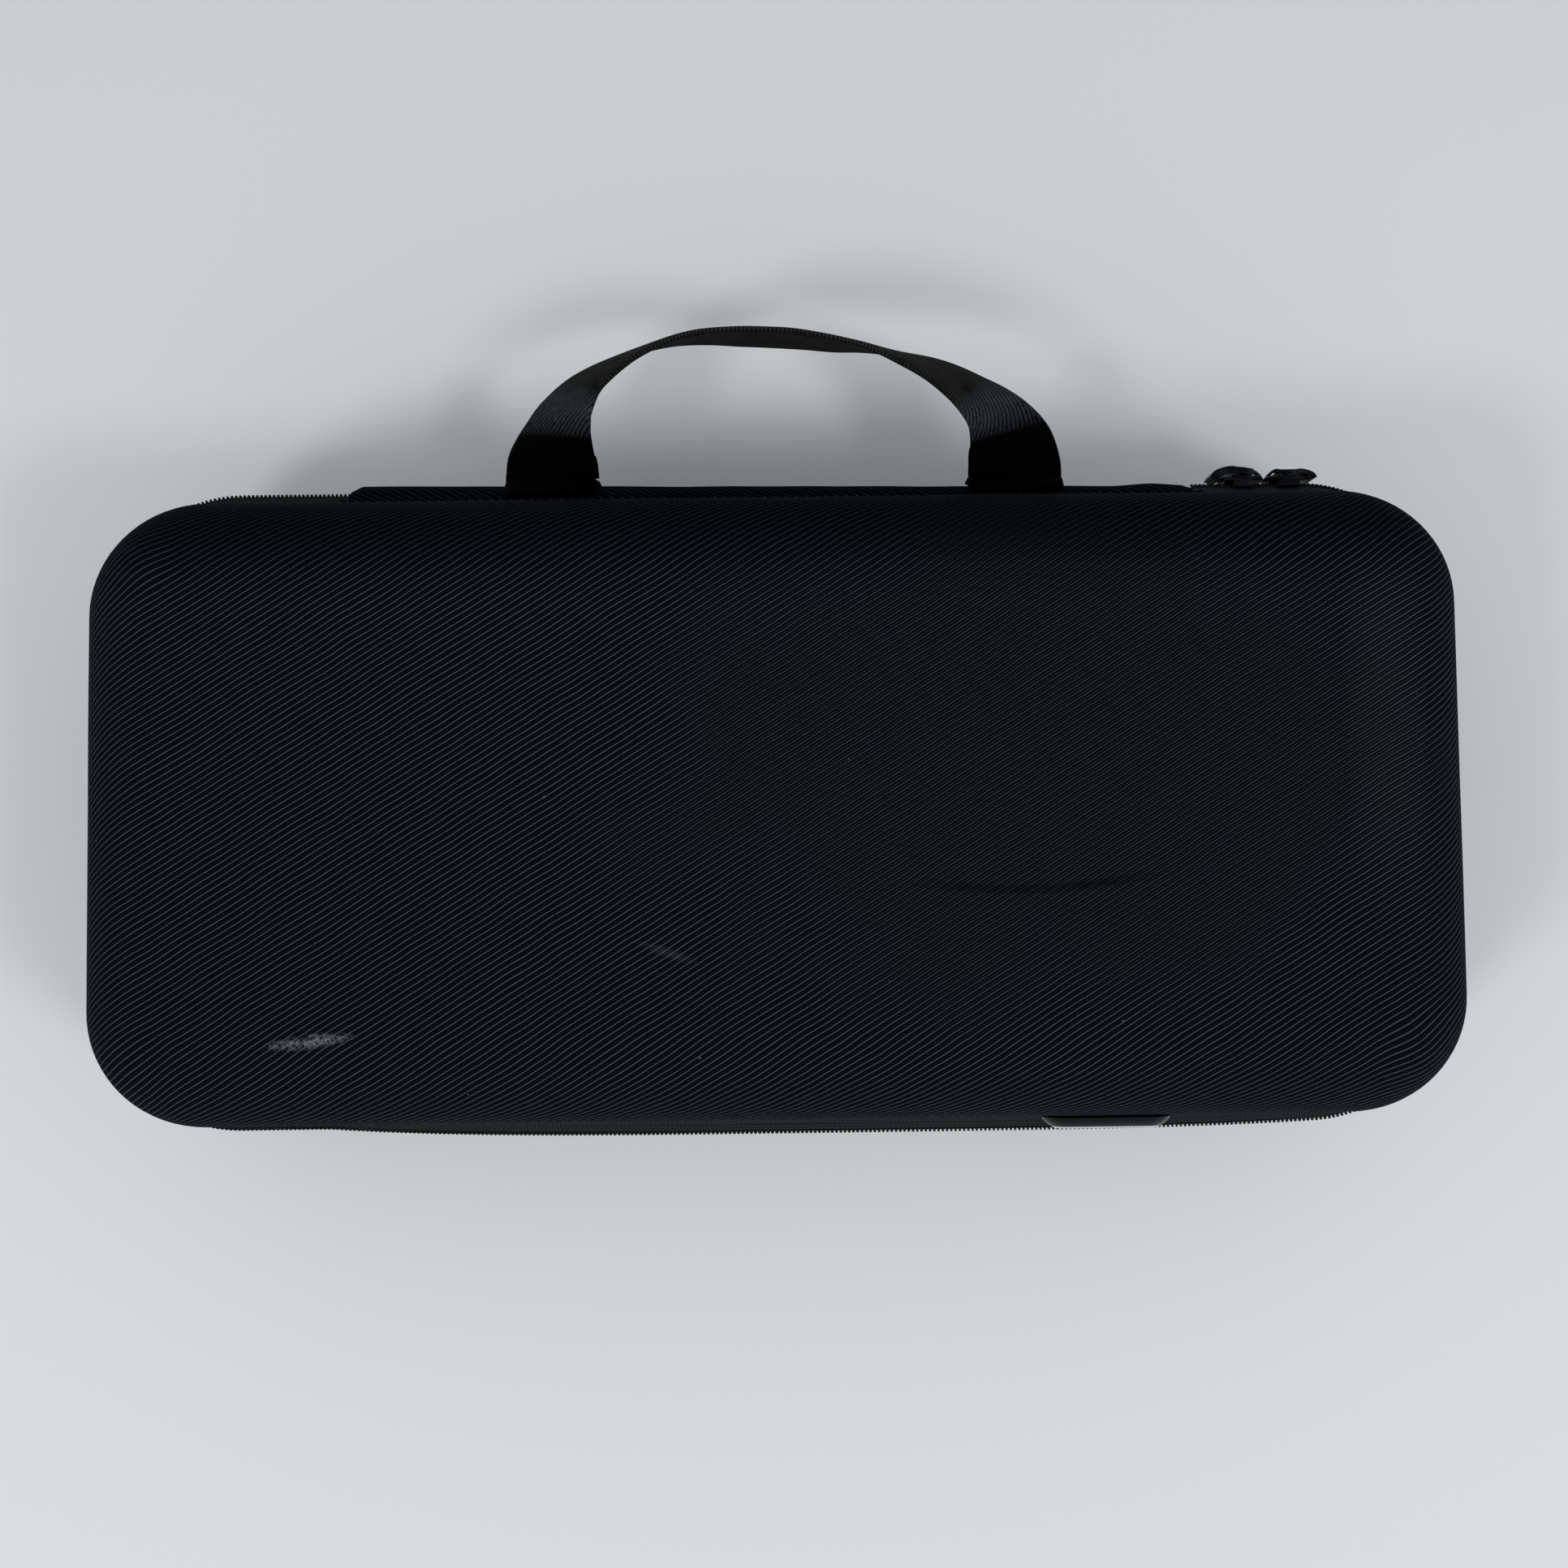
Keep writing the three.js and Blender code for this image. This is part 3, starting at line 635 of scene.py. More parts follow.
def rim_binding(prefix, body, turn):
    top = SHELL_HEIGHT - 0.6
    low = top - BINDING_HEIGHT
    near, far = BINDING_DEPTHS
    section = [
        (wall_inset(low, near), low),
        (wall_inset(top - 0.2, near), top - 0.2),
        (wall_inset(top, near + 0.25), top),
        (wall_inset(top, far - 0.25), top),
        (wall_inset(top - 0.4, far), top - 0.4),
        (wall_inset(top - 4, far + 0.15), top - 4),
        (wall_inset(low + 0.5, far), low + 0.5),
        (wall_inset(low, far - 0.3), low),
    ]
    points, chart = swept_band(turn(section))
    ribbon = grid_piece(f"{prefix}_ribbon", points, chart, [GROSGRAIN], None, 70)
    settle(ribbon, body, "binding", f"{prefix}_rim_binding")
    seam = turn([(wall_inset(low + 2, far + 0.12), low + 2)])[0]
    plan, _ = rim_outline(seam[0])
    line = np.column_stack([plan, np.full(len(plan), seam[1])])
    even, tangents, _ = resample(line, 3.2)
    inward = np.cross(tangents, [0, 0, 1]) * -1
    stitches(f"{prefix}_ribbon_seam", [even], [inward], body, 3.2)


rim_binding("base", "base", lambda section: section)
rim_binding("lid", "lid", mirrored)


# ---- Zip tapes ----
# A knitted tape is sewn under each rim. It leans out and then stands upright behind its
# coil, so the closed zip makes a ridge round the front and the ends. The ridge is drawn in
# towards the front corners, where the tape was sewn tight.
CHAIN_START_X = 112.5
TAPE_OUT = 3.7
COIL_OUT = (4.0, 6.2)
TUCK_FROM, TUCK_REACH, TUCK_RATE, TUCK_MOST = 20, 150, 4.5, 3.2


def chain_outline(inset):
    """The outline's stretch that carries the zip: from the strip's right end, round the
    right end, the front and the left end, to the strip's left end."""
    plan, outward = rim_outline(inset)
    plan, outward = plan[:-1], outward[:-1]
    hidden = (plan[:, 1] > 0) & (np.abs(plan[:, 0]) < CHAIN_START_X)
    first = int(np.argmax(hidden))
    plan = np.roll(plan, -first, axis=0)[np.count_nonzero(hidden):][::-1]
    outward = np.roll(outward, -first, axis=0)[np.count_nonzero(hidden):][::-1]
    ends = plan[[0, -1]].copy()
    ends[:, 0] = (CHAIN_START_X, -CHAIN_START_X)
    plan = np.vstack([ends[:1], plan, ends[1:]])
    outward = np.vstack([outward[:1], outward, outward[-1:]])
    drawn = np.minimum(TUCK_MOST, TUCK_RATE * ((plan[:, 0] - TUCK_FROM) / TUCK_REACH) ** 4)
    front = np.clip((RIM_CORNER - RIM_HALF_DEPTH - plan[:, 1]) / RIM_CORNER, 0, 1)
    plan[:, 1] += drawn * front * max(-inset, 0) / COIL_OUT[1]
    return plan, outward


def tape_finish():
    """Warp-knit tape: chevrons of fine loops that run along it."""
    finish = Finish("zip_tape", Specular_IOR_Level=0.03)
    along, across = finish.surface("chart")
    zigzag = abs((across / 1.1).fraction() - 0.5) * 1.6
    loop = (along / 1.12 + zigzag).fraction().hump(0.5, 0.5)
    wale = (across / 1.1).fraction().hump(0.5, 0.5)
    fuzz = finish.noise(finish.point(along, across), 1.6, 4.0)
    height = loop * 0.7 + wale * 0.3
    colour = finish.mix(height * 0.8 + fuzz * 0.25, (0.0006, 0.0008, 0.0008), (0.032, 0.037, 0.037))
    normal = finish.relief(height + fuzz * 0.4, 0.35, 0.9)
    return finish.wear(Base_Color=colour, Roughness=0.85 - loop * 0.15, Normal=normal)


TAPE = tape_finish()


def zip_tape(name, body, turn):
    half = 2.85
    section = [
        (2.0, SHELL_HEIGHT + 0.3),
        (-0.3, SHELL_HEIGHT + 0.3),
        (-1.3, SHELL_HEIGHT + 1.1),
        (-2.6, ZIP_Z - half - 1.5),
        (-3.4, ZIP_Z - half - 0.6),
        (-TAPE_OUT, ZIP_Z - half + 0.4),
        (-TAPE_OUT, ZIP_Z - 0.3),
        (-TAPE_OUT + 0.9, ZIP_Z - 0.3),
        (-TAPE_OUT + 0.9, ZIP_Z - half + 0.2),
        (-0.8, SHELL_HEIGHT + 1.9),
        (2.0, SHELL_HEIGHT + 1.3),
    ]
    points, chart = swept_band(turn(section), chain_outline)
    tape = grid_piece(f"{name}_tape", points, chart, [TAPE], None, 50)
    close_ends(tape)
    settle(tape, body, "tape", f"zip_tape_{name}")


def close_ends(piece):
    """Fills the open ends of a swept band."""
    work = bmesh.new()
    work.from_mesh(piece.data)
    rim = [edge for edge in work.edges if edge.is_boundary]
    bmesh.ops.holes_fill(work, edges=rim, sides=0)
    bmesh.ops.recalc_face_normals(work, faces=work.faces)
    work.to_mesh(piece.data)
    work.free()


zip_tape("lower", "base", lambda section: section)
zip_tape("upper", "lid", mirrored)


# ---- Zip coils ----
# Each stringer's teeth are one nylon monofilament wound into a flattened coil round a cord.
# Knitted threads bind it down to its tape, and the two coils mesh along the ridge.
COIL_PITCH = 1.12
COIL_LIFT = 1.55
COIL_HALF = (0.72, 1.02)
CORD_HALF = (0.42, 0.66)
WIRE_RADIUS = 0.34
COIL_SIDES = 14
WIRE_SIDES = 6


def nylon_finish():
    finish = Finish("nylon_coil", Specular_IOR_Level=0.08)
    place = finish.place()
    fuzz = finish.noise(place, 900.0, 3.0)
    drift = finish.noise(place, 30.0, 2.0)
    colour = finish.mix(fuzz * 0.6 + drift * 0.4, (0.002, 0.0023, 0.0024), (0.017, 0.0195, 0.0195))
    return finish.wear(Base_Color=colour, Roughness=0.5 + fuzz * 0.3,
                       Normal=finish.relief(fuzz, 0.05, 0.4))


NYLON = nylon_finish()


def coil(name, body, flip):
    middle = (COIL_OUT[0] + COIL_OUT[1]) / 2
    z = ZIP_Z + flip * COIL_LIFT
    plan, _ = chain_outline(-middle)
    line = np.column_stack([plan, np.full(len(plan), z)])
    points, tangents, run = resample(line, COIL_PITCH / COIL_SIDES)
    normals = np.cross(tangents, [0, 0, 1]) * -1
    phase = math.tau * run / COIL_PITCH
    half_out, half_up = COIL_HALF
    swing = normals * (half_out * np.cos(phase))[:, None]
    swing[:, 2] += flip * half_up * np.sin(phase)
    wire = points + swing
    direction = np.gradient(wire, axis=0)
    direction /= np.linalg.norm(direction, axis=1)[:, None]
    spoke = swing / np.linalg.norm(swing, axis=1)[:, None]
    other = np.cross(direction, spoke)
    rings = []
    for k in range(WIRE_SIDES + 1):
        angle = math.tau * k / WIRE_SIDES
        rings.append(wire + WIRE_RADIUS * (spoke * math.cos(angle) + other * math.sin(angle)))
    points = np.stack(rings, 1)
    chart = np.zeros((*points.shape[:2], 2))
    chart[..., 0] = run[:, None]
    wound = grid_piece(name, points, chart, [NYLON], None, 80)
    settle(wound, body, "coil", f"zip_coil_{'lower' if flip < 0 else 'upper'}")


def filler_cord(name, body, flip):
    """The twisted cord that each coil is wound round."""
    centre, z = -sum(COIL_OUT) / 2, ZIP_Z + flip * COIL_LIFT
    turns = np.linspace(0, math.tau, 9)[:-1]
    section = [(centre + CORD_HALF[0] * math.cos(t), z + CORD_HALF[1] * math.sin(t)) for t in turns]
    points, chart = swept_band(section, chain_outline)
    cord = grid_piece(name, points, chart, [TAPE], None, 80)
    close_ends(cord)
    settle(cord, body, "coil")


def coil_sewing(name, body, turn):
    """The knitted threads that bind a coil's inner side down to its tape."""
    section = [(-3.3, 41.35), (-4.3, 41.8), (-4.95, 42.4), (-4.8, 42.65), (-4.2, 42.2),
               (-3.35, 41.8)]
    points, chart = swept_band(turn(section), chain_outline)
    band = grid_piece(name, points, chart, [TAPE], None, 80)
    close_ends(band)
    settle(band, body, "tape")


coil_sewing("lower_coil_sewing", "base", lambda section: section)
coil_sewing("upper_coil_sewing", "lid", mirrored)
coil("lower_coil", "base", -1)
coil("upper_coil", "lid", 1)
filler_cord("lower_coil_cord", "base", -1)
filler_cord("upper_coil_cord", "lid", 1)


# ---- Hinge strip ----
# A strip of the same twill over thin foam closes the back between the tapes' ends. Its
# long edges lap the walls of both halves and are sewn down; it bends at the two rims.
STRIP_HALF_LENGTH = 112
STRIP_THICK = 1.5
STRIP_TWILL = twill_finish("ribbed_twill_strip")


def spline(knots, count):
    """A smooth line through knots (Catmull-Rom), with count points."""
    knots = np.array(knots, float)
    ends = np.vstack([2 * knots[0] - knots[1], knots, 2 * knots[-1] - knots[-2]])
    chords = np.linalg.norm(np.diff(knots, axis=0), axis=1)
    run = np.concatenate([[0], np.cumsum(chords)])
    wanted = np.linspace(0, run[-1], count)
    line = []
    for s in wanted:
        k = min(int(np.searchsorted(run, s, "right")) - 1, len(knots) - 2)
        t = (s - run[k]) / chords[k]
        a, b, c, d = ends[k:k + 4]
        line.append(0.5 * (2 * b + (c - a) * t + (2 * a - 5 * b + 4 * c - d) * t ** 2
                           + (3 * b - a - 3 * c + d) * t ** 3))
    return np.array(line)


def strip_half(name, knots, thick, half_length, finish, flip, bulge):
    """One half of a strip, from its lapped edge to the mid line, over the fold."""
    profile = spline(knots, 18)
    slope = np.gradient(profile, axis=0)
    slope /= np.linalg.norm(slope, axis=1)[:, None]
    normal = np.column_stack([slope[:, 1], -slope[:, 0]])
    inner = profile - normal * thick
    section = np.vstack([profile, inner[::-1], profile[:1]])
    ease = (section[:, 1] - section[:, 1].min()) / np.ptp(section[:, 1])
    stations = np.linspace(-half_length, half_length, 91)
    run = np.concatenate([[0], np.cumsum(np.linalg.norm(np.diff(section, axis=0), axis=1))])
    points = np.zeros((len(section), len(stations), 3))
    for i, x in enumerate(stations):
        end = 1 - 0.25 * math.exp(-((half_length - abs(x)) / 1.1) ** 2)
        puff = bulge * (-0.0134 * x + 0.9 * math.exp(-((x - 101) / 7) ** 2)
                        + 0.25 * noise.noise(Vector((x / 17, 0, 5))))
        points[:, i, 0] = x
        points[:, i, 1] = section[:, 0] + ease ** 1.5 * puff
        points[:, i, 2] = section[:, 1]
        middle = section.mean(axis=0)
        points[:, i, 1] = middle[0] + (points[:, i, 1] - middle[0]) * end
    chart = np.zeros((*points.shape[:2], 2))
    chart[..., 0] = stations[None, :]
    chart[..., 1] = run[:, None] + 60
    if flip:
        points[..., 2] = CASE_HEIGHT - points[..., 2]
        chart[..., 1] = 120 + 2 * run[17] - chart[..., 1]
    piece = grid_piece(name, points, chart, [finish], None, 60)
    close_ends(piece)
    return piece


STRIP_KNOTS = [(80.7, 30.5), (81.0, 34.5), (81.9, 38.2), (84.6, 40.2), (86.1, 42.4), (86.6, 45)]
LINING_KNOTS = [(74.8, 38.75), (78.6, 38.9), (81.4, 39.9), (83.2, 41.6), (84.0, 43.3), (84.3, 45)]


for part, knots, thick, half, finish, slot, node, bulge in (
    ("strip", STRIP_KNOTS, STRIP_THICK, STRIP_HALF_LENGTH, STRIP_TWILL, "twill", "hinge_strip", 1),
    ("strip_lining", LINING_KNOTS, 0.6, STRIP_HALF_LENGTH - 2, TRICOT, "lining", "hinge_lining", 0),
):
    lower = strip_half(f"{part}_lower", knots, thick, half, finish, False, bulge)
    upper = strip_half(f"{part}_upper", knots, thick, half, finish, True, bulge)
    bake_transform(lower)
    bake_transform(upper)
    for piece in (lower, upper):
        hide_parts(node)


def strip_seam(name, body, z):
    line = [(-STRIP_HALF_LENGTH + 3, 80.95, z), (STRIP_HALF_LENGTH - 3, 80.95, z)]
    stitches(name, [line], [(0, 1, 0)], body)


strip_seam("strip_seam_lower", "base", 33.5)
strip_seam("strip_seam_upper", "lid", CASE_HEIGHT - 33.5)


# ---- Handle ----
# One length of 25 mm polyester webbing. Its ends are sewn flat to the hinge strip, and the
# loop stands out behind the case: it lies flat at its roots and turns on edge at its crown.
WEBBING_WIDTH = 25
WEBBING_THICK = 1.7
HANDLE_FEET_X = (-58.4, 64.9)
HANDLE_ROOT = (87.75, 48.4)
HANDLE_LINE = [
    (-58.4, 87.75, 48.4, 0), (-58.6, 90.8, 48.4, 3), (-58.8, 95, 48.4, 17),
    (-57.6, 101.8, 48.4, 35), (-55.2, 107.8, 48, 45), (-49.8, 114.8, 47.2, 56),
    (-40, 121.6, 46.2, 66), (-30, 126, 45.4, 73), (-20.5, 127.9, 45, 78), (-8, 128.1, 45, 82),
    (5, 127.4, 45, 82.5), (17, 125.8, 45, 80), (27, 124.3, 45.3, 74), (36, 121.4, 45.8, 66),
    (45.5, 117.3, 46.5, 57), (54.2, 111.3, 47.4, 48), (60.5, 105.3, 48.1, 36),
    (64, 98.5, 48.4, 19), (64.9, 91.8, 48.4, 3), (64.9, 87.75, 48.4, 0),
]


def webbing_finish(name, loop_length=0):
    """Twill-woven polyester: fine slanted floats, two picks a millimetre, dull black with
    a silky shine along the floats, and a plain tight selvedge. Given the loop's length, light
    is painted on it: the lid's shadow near each root, grey where lit past it, and highlights
    on the floats and along the edges."""
    finish = Finish(name, Specular_IOR_Level=0.008)
    along, across = finish.surface("chart")
    slant = (along * 0.5 + across * 0.85) / 1.3
    float_ = slant.fraction().hump(0.5, 0.45)
    pick = (across / 0.55 - along * 0.25).fraction().hump(0.5, 0.5)
    edge = abs(across).rise(11.2, 12.0)
    selvedge = (along / 1.1).fraction().hump(0.5, 0.45)
    height = float_ * 0.75 + pick * 0.25
    height = height * (1 - edge) + selvedge * edge
    fibre = finish.noise(finish.point(along * 0.35, across * 3.0), 1.4, 3.0)
    colour = finish.mix(height, (0.00008, 0.00008, 0.0001), (0.0006, 0.0006, 0.0007))
    if loop_length:
        patch = finish.noise(finish.point(along, across), 0.12, 2.0)
        near = along.smaller(loop_length - along)
        # Painted shadow: near each root the webbing stays near black, for the lid's shadow; past it
        # the loop is painted grey, as lit.
        lit_past_lid_shadow = near.rise(13, 21)
        lit_grain = height * patch.rise(0.15, 0.6)
        greyed = finish.mix(lit_grain, (0.0003, 0.0004, 0.0004), (0.019, 0.0195, 0.019))
        colour = finish.mix(lit_past_lid_shadow, colour, greyed)
        # Painted highlight: bright floats just past the shadow's edge, where they face the lamps.
        bright = near.hump(20, 8) * float_ * fibre.rise(0.35, 0.6)
        colour = finish.mix(bright, colour, (0.05, 0.055, 0.066))
        # Painted highlight: a lighter edge along the loop away from its roots, for the lit upper
        # face of the crown.
        rim = edge * selvedge * near.rise(40, 60)
        colour = finish.mix(rim * 0.7, colour, (0.034, 0.034, 0.033))
    normal = finish.relief(height + fibre * 0.15, 0.3, 0.9)
    return finish.wear(Base_Color=colour, Roughness=0.7 - float_ * 0.15, Normal=normal)


WEBBING = webbing_finish("twill_webbing")
LOOP_LINE = spline([knot[:3] for knot in HANDLE_LINE], 900)
LOOP_LENGTH = float(np.linalg.norm(np.diff(LOOP_LINE, axis=0), axis=1).sum())
# The loop's webbing carries painted shadow and highlights.
LOOP_WEBBING = webbing_finish("handle_webbing", LOOP_LENGTH)


def webbing_section():
    """Points round the webbing, from edge to edge and back: rounded edges, a slight crown."""
    half, thick = WEBBING_WIDTH / 2, WEBBING_THICK / 2
    upper = [(half * s, thick * (1 - 0.9 * abs(s) ** 14) + 0.08 * (1 - s * s))
             for s in np.linspace(-1, 1, 23)]
    lower = [(x, -y) for x, y in upper[::-1]]
    return np.array([*upper, *lower, upper[0]])


def webbing_loop():
    knots = np.array(HANDLE_LINE, float)
    line, tangents, run = resample(LOOP_LINE, 0.85)
    chords = np.linalg.norm(np.diff(knots[:, :3], axis=0), axis=1)
    marks = np.concatenate([[0], np.cumsum(chords)]) * run[-1] / chords.sum()
    turns = np.radians(np.interp(run, marks, knots[:, 3]))
    turns = np.convolve(np.pad(turns, 3, "edge"), np.full(7, 1 / 7), "valid")
    section = webbing_section()
    across = section[:, 0]
    points = np.zeros((len(section), len(line), 3))
    for i, (centre, along, angle) in enumerate(zip(line, tangents, turns)):
        outward = np.cross([0, 0, 1], along)
        outward /= np.linalg.norm(outward)
        width = outward * math.cos(angle) + np.cross(outward, along) * math.sin(angle)
        face = np.cross(along, width)
        cup = 0.5 * math.sin(angle * 1.1) * (section[:, 0] / 12.5) ** 2
        slack = min(run[i], run[-1] - run[i], 8) / 8
        wave = 0.2 * noise.noise(Vector((run[i] / 21, 2.0, 0))) * slack
        lift = section[:, 1] - cup + wave
        points[:, i] = centre + across[:, None] * width + lift[:, None] * face
    chart = np.zeros((*points.shape[:2], 2))
    chart[..., 0] = run[None, :]
    chart[..., 1] = across[:, None]
    loop = grid_piece("webbing_loop", points, chart, [LOOP_WEBBING], None, 60)
    close_ends(loop)
    return loop


loop = settle(webbing_loop(), "handle", "webbing", "handle_loop")
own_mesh(loop)


def webbing_foot(name, x):
    """The sewn end: webbing laid up the strip and boxed with stitching."""
    section = webbing_section()
    heights = np.linspace(41.2, 47.0, 12)
    points = np.zeros((len(section), len(heights), 3))
    points[..., 0] = x + section[:, 0][:, None]
    points[..., 1] = HANDLE_ROOT[0] + section[:, 1][:, None]
    points[..., 2] = heights[None, :]
    chart = np.zeros((*points.shape[:2], 2))
    chart[..., 0] = heights[None, :]
    chart[..., 1] = section[:, 0][:, None]
    foot = grid_piece(name, points, chart, [WEBBING], None, 60)
    close_ends(foot)
    settle(foot, "spine", "webbing", f"handle_{name}")
    out = HANDLE_ROOT[0] + WEBBING_THICK / 2 + 0.05
    left, right, low, high = x - 10.5, x + 10.5, 42.0, 45.9
    box = [[(left, out, low), (right, out, low)], [(left, out, high), (right, out, high)],
           [(left, out, low), (right, out, high)], [(left, out, high), (right, out, low)]]
    stitches(f"{name}_stitching", box, [(0, 1, 0)] * 4, "spine", 2.4, 1.8)


def webbing_tuck(name, x):
    """The webbing above the foot, laid over the strip's shoulder and into the lid's seam."""
    profile = spline([(87.85, 47.6), (87.35, 48.7), (86.3, 50.0), (85.0, 51.2), (83.4, 52.2)], 14)
    section = webbing_section()
    slope = np.gradient(profile, axis=0)
    slope /= np.linalg.norm(slope, axis=1)[:, None]
    points = np.zeros((len(section), len(profile), 3))
    points[..., 0] = x + section[:, 0][:, None]
    points[..., 1] = profile[:, 0] + section[:, 1][:, None] * slope[:, 1]
    points[..., 2] = profile[:, 1] - section[:, 1][:, None] * slope[:, 0]
    chart = np.zeros((*points.shape[:2], 2))
    chart[..., 0] = profile[:, 1][None, :]
    chart[..., 1] = section[:, 0][:, None]
    tuck = grid_piece(name, points, chart, [WEBBING], None, 60)
    close_ends(tuck)
    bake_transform(tuck)


webbing_foot("foot_left", HANDLE_FEET_X[0])
webbing_foot("foot_right", HANDLE_FEET_X[1])
webbing_tuck("tuck_left", HANDLE_FEET_X[0])
webbing_tuck("tuck_right", HANDLE_FEET_X[1])


# ---- Sliders and pulls ----
# Die-cast bodies plated black nickel: an outer and an inner plate joined by a neck, side
# flanges round the coils, a sheet bridge on top and a curved pull hung in its eye.
COIL_TIP_Y = 85.7
PULL_EYE_Y = 2.75
SLIDER_HALF = 5.75


def gunmetal_finish():
    finish = Finish("black_nickel", Metallic=1.0)
    place = finish.place()
    cast = finish.noise(place, 700.0, 3.0)
    rub = finish.noise(place, 160.0, 4.0).rise(0.5, 0.72)
    colour = finish.mix(rub, (0.006, 0.007, 0.0085), (0.030, 0.031, 0.033))
    return finish.wear(Base_Color=colour, Roughness=0.24 + cast * 0.22,
                       Normal=finish.relief(cast, 0.04, 0.3))


GUNMETAL = gunmetal_finish()


def cast_block(outline, low, high, plane):
    """A prism over an outline, as plain faces: plane gives a point from (a, b, height)."""
    count = len(outline)
    verts = [plane(a, b, low) for a, b in outline] + [plane(a, b, high) for a, b in outline]
    faces = [tuple(range(count - 1, -1, -1)), tuple(range(count, 2 * count))]
    for k in range(count):
        n = (k + 1) % count
        faces.append((k, n, count + n, count + k))
    return verts, faces


def cast_piece(name, blocks, offset, body, node, round_by=0.28):
    verts, faces = [], []
    for block_verts, block_faces in blocks:
        faces += [tuple(i + len(verts) for i in face) for face in block_faces]
        verts += block_verts
    mesh = bpy.data.meshes.new(name)
    mesh.from_pydata([tuple((np.array(v) + offset) / 1000) for v in verts], [], faces)
    work = bmesh.new()
    work.from_mesh(mesh)
    bmesh.ops.recalc_face_normals(work, faces=work.faces)
    work.to_mesh(mesh)
    work.free()
    mesh.polygons.foreach_set("use_smooth", np.ones(len(mesh.polygons), bool))
    mesh.materials.append(GUNMETAL)
    piece = bpy.data.objects.new(name, mesh)
    bpy.context.scene.collection.objects.link(piece)
    soften = piece.modifiers.new("cast_edges", "BEVEL")
    soften.width = round_by / 1000
    soften.segments = 3
    soften.limit_method = "ANGLE"
    soften.angle_limit = math.radians(28)
    soften.harden_normals = True
    return settle(piece, body, "gunmetal", node)


def along_y(a, b, height):
    return (a, height, b)


def along_z(a, b, height):
    return (a, b, height)


def shield(half_width, nose):
    """A slider plate's outline along the chain (a) and across it (b), its nose at +a or -a."""
    half = SLIDER_HALF
    upper = [(-half, 0.45), (-half + 0.5, 0.66), (-half + 1.4, 0.78), (0, 0.88), (half - 3.4, 1.0),
             (half - 1.8, 0.96), (half - 0.7, 0.74), (half - 0.15, 0.42), (half, 0.12)]
    points = [(a, b * half_width) for a, b in upper]
    points += [(a, -b) for a, b in points[::-1]]
    return [(a * nose, b) for a, b in points]


def slider(name, x, crown, side):
    place = np.array([x, COIL_TIP_Y, ZIP_Z])
    square = [(-3.2, 3.3), (3.2, 3.3), (2.9, 4.1), (1.2, 4.3), (-1.2, 4.3), (-2.9, 4.1)]
    blocks = [
        cast_block(shield(4.3, -side), 0.4, 1.5, along_y),
        cast_block(shield(1.9, -side), -6.2, -5.3, along_y),
        cast_block([(-1.1, -0.9), (1.1, -0.9), (1.1, 0.9), (-1.1, 0.9)], -5.7, 0.9, along_y),
        cast_block(square, -1.5, 0.6, along_y),
        cast_block([(a, -b) for a, b in square], -1.5, 0.6, along_y),
    ]
    cast_piece(f"{name}_casting", blocks, place, f"slider_{name}", f"slider_{name}_body")
    bridge = bridge_blocks()
    at = place + (crown, 0, 0)
    cast_piece(f"{name}_bridge_sheet", bridge, at, f"slider_{name}", f"slider_{name}_bridge", 0.2)
    pull_piece(name, side, at + (0, PULL_EYE_Y, 0))


def bridge_blocks():
    """The bridge as a bent sheet: an outer arch over the eye, in short straight lengths."""
    outer = [(-3.1, 1.8), (-2.6, 2.55), (-1.6, 3.45), (-0.55, 4.05), (0.55, 4.05), (1.6, 3.45),
             (2.6, 2.55), (3.1, 1.8)]
    inner = [(-1.75, 1.8), (-1.55, 2.4), (-1.1, 2.95), (-0.4, 3.25), (0.4, 3.25), (1.1, 2.95),
             (1.55, 2.4), (1.75, 1.8)]
    ring = outer + inner[::-1]
    return [cast_block(ring, -1, 1, along_z)]


def pull_piece(name, side, eye):
    reach, rise, drop, half = (10.4, 0.5, 2.2, 0.92) if side < 0 else (9.3, 0, 1.9, 0.65)
    knots = [(0, 0), (reach * 0.3, rise), (reach * 0.65, rise), (reach * 0.92, rise - drop * 0.45),
             (reach, rise - drop)]
    line = spline([(a, b, 0) for a, b in knots], 26)
    slope = np.gradient(line, axis=0)
    slope /= np.linalg.norm(slope, axis=1)[:, None]
    normal = np.column_stack([-slope[:, 1], slope[:, 0]])
    share = np.linspace(0, 1, len(line))
    thick = half * (0.95 + (0.45 if side < 0 else 0) * share ** 2)
    near = line[:, :2] - normal * thick[:, None]
    far = line[:, :2] + normal * thick[:, None]
    split = int(np.searchsorted(line[:, 0], 4.6))
    arm = [*near[:split + 1], *far[:split + 1][::-1]]
    tab = [*near[split:], *far[split:][::-1]]
    turned = [[(side * a, b) for a, b in outline] for outline in (arm, tab)]
    bar = [(0.5 * math.cos(t), 0.5 * math.sin(t)) for t in np.linspace(0, math.tau, 13)[:-1]]
    blocks = [
        cast_block(turned[0], 1.55, 3.1, along_z),
        cast_block(turned[0], -3.1, -1.55, along_z),
        cast_block(turned[1], -3.6, 3.6, along_z),
        cast_block(bar, -3.0, 3.0, along_z),
    ]
    cast_piece(f"{name}_pull_tab", blocks, eye, f"pull_{name}", f"slider_{name}_pull", 0.2)


slider("inner", 126.2, 2.7, -1)
slider("outer", 138, -2, 1)


# ---- Badge ----
# An oval plate on the lid's front wall: a rim pressed from sheet, blacked on its flank and
# polished on its crest, and a domed insert of black resin, plain, with nothing on it.
BADGE_X = 82.3
BADGE_Z = 63.5
BADGE_HALF = (16.3, 6.6)
BADGE_SEAT = 0.45


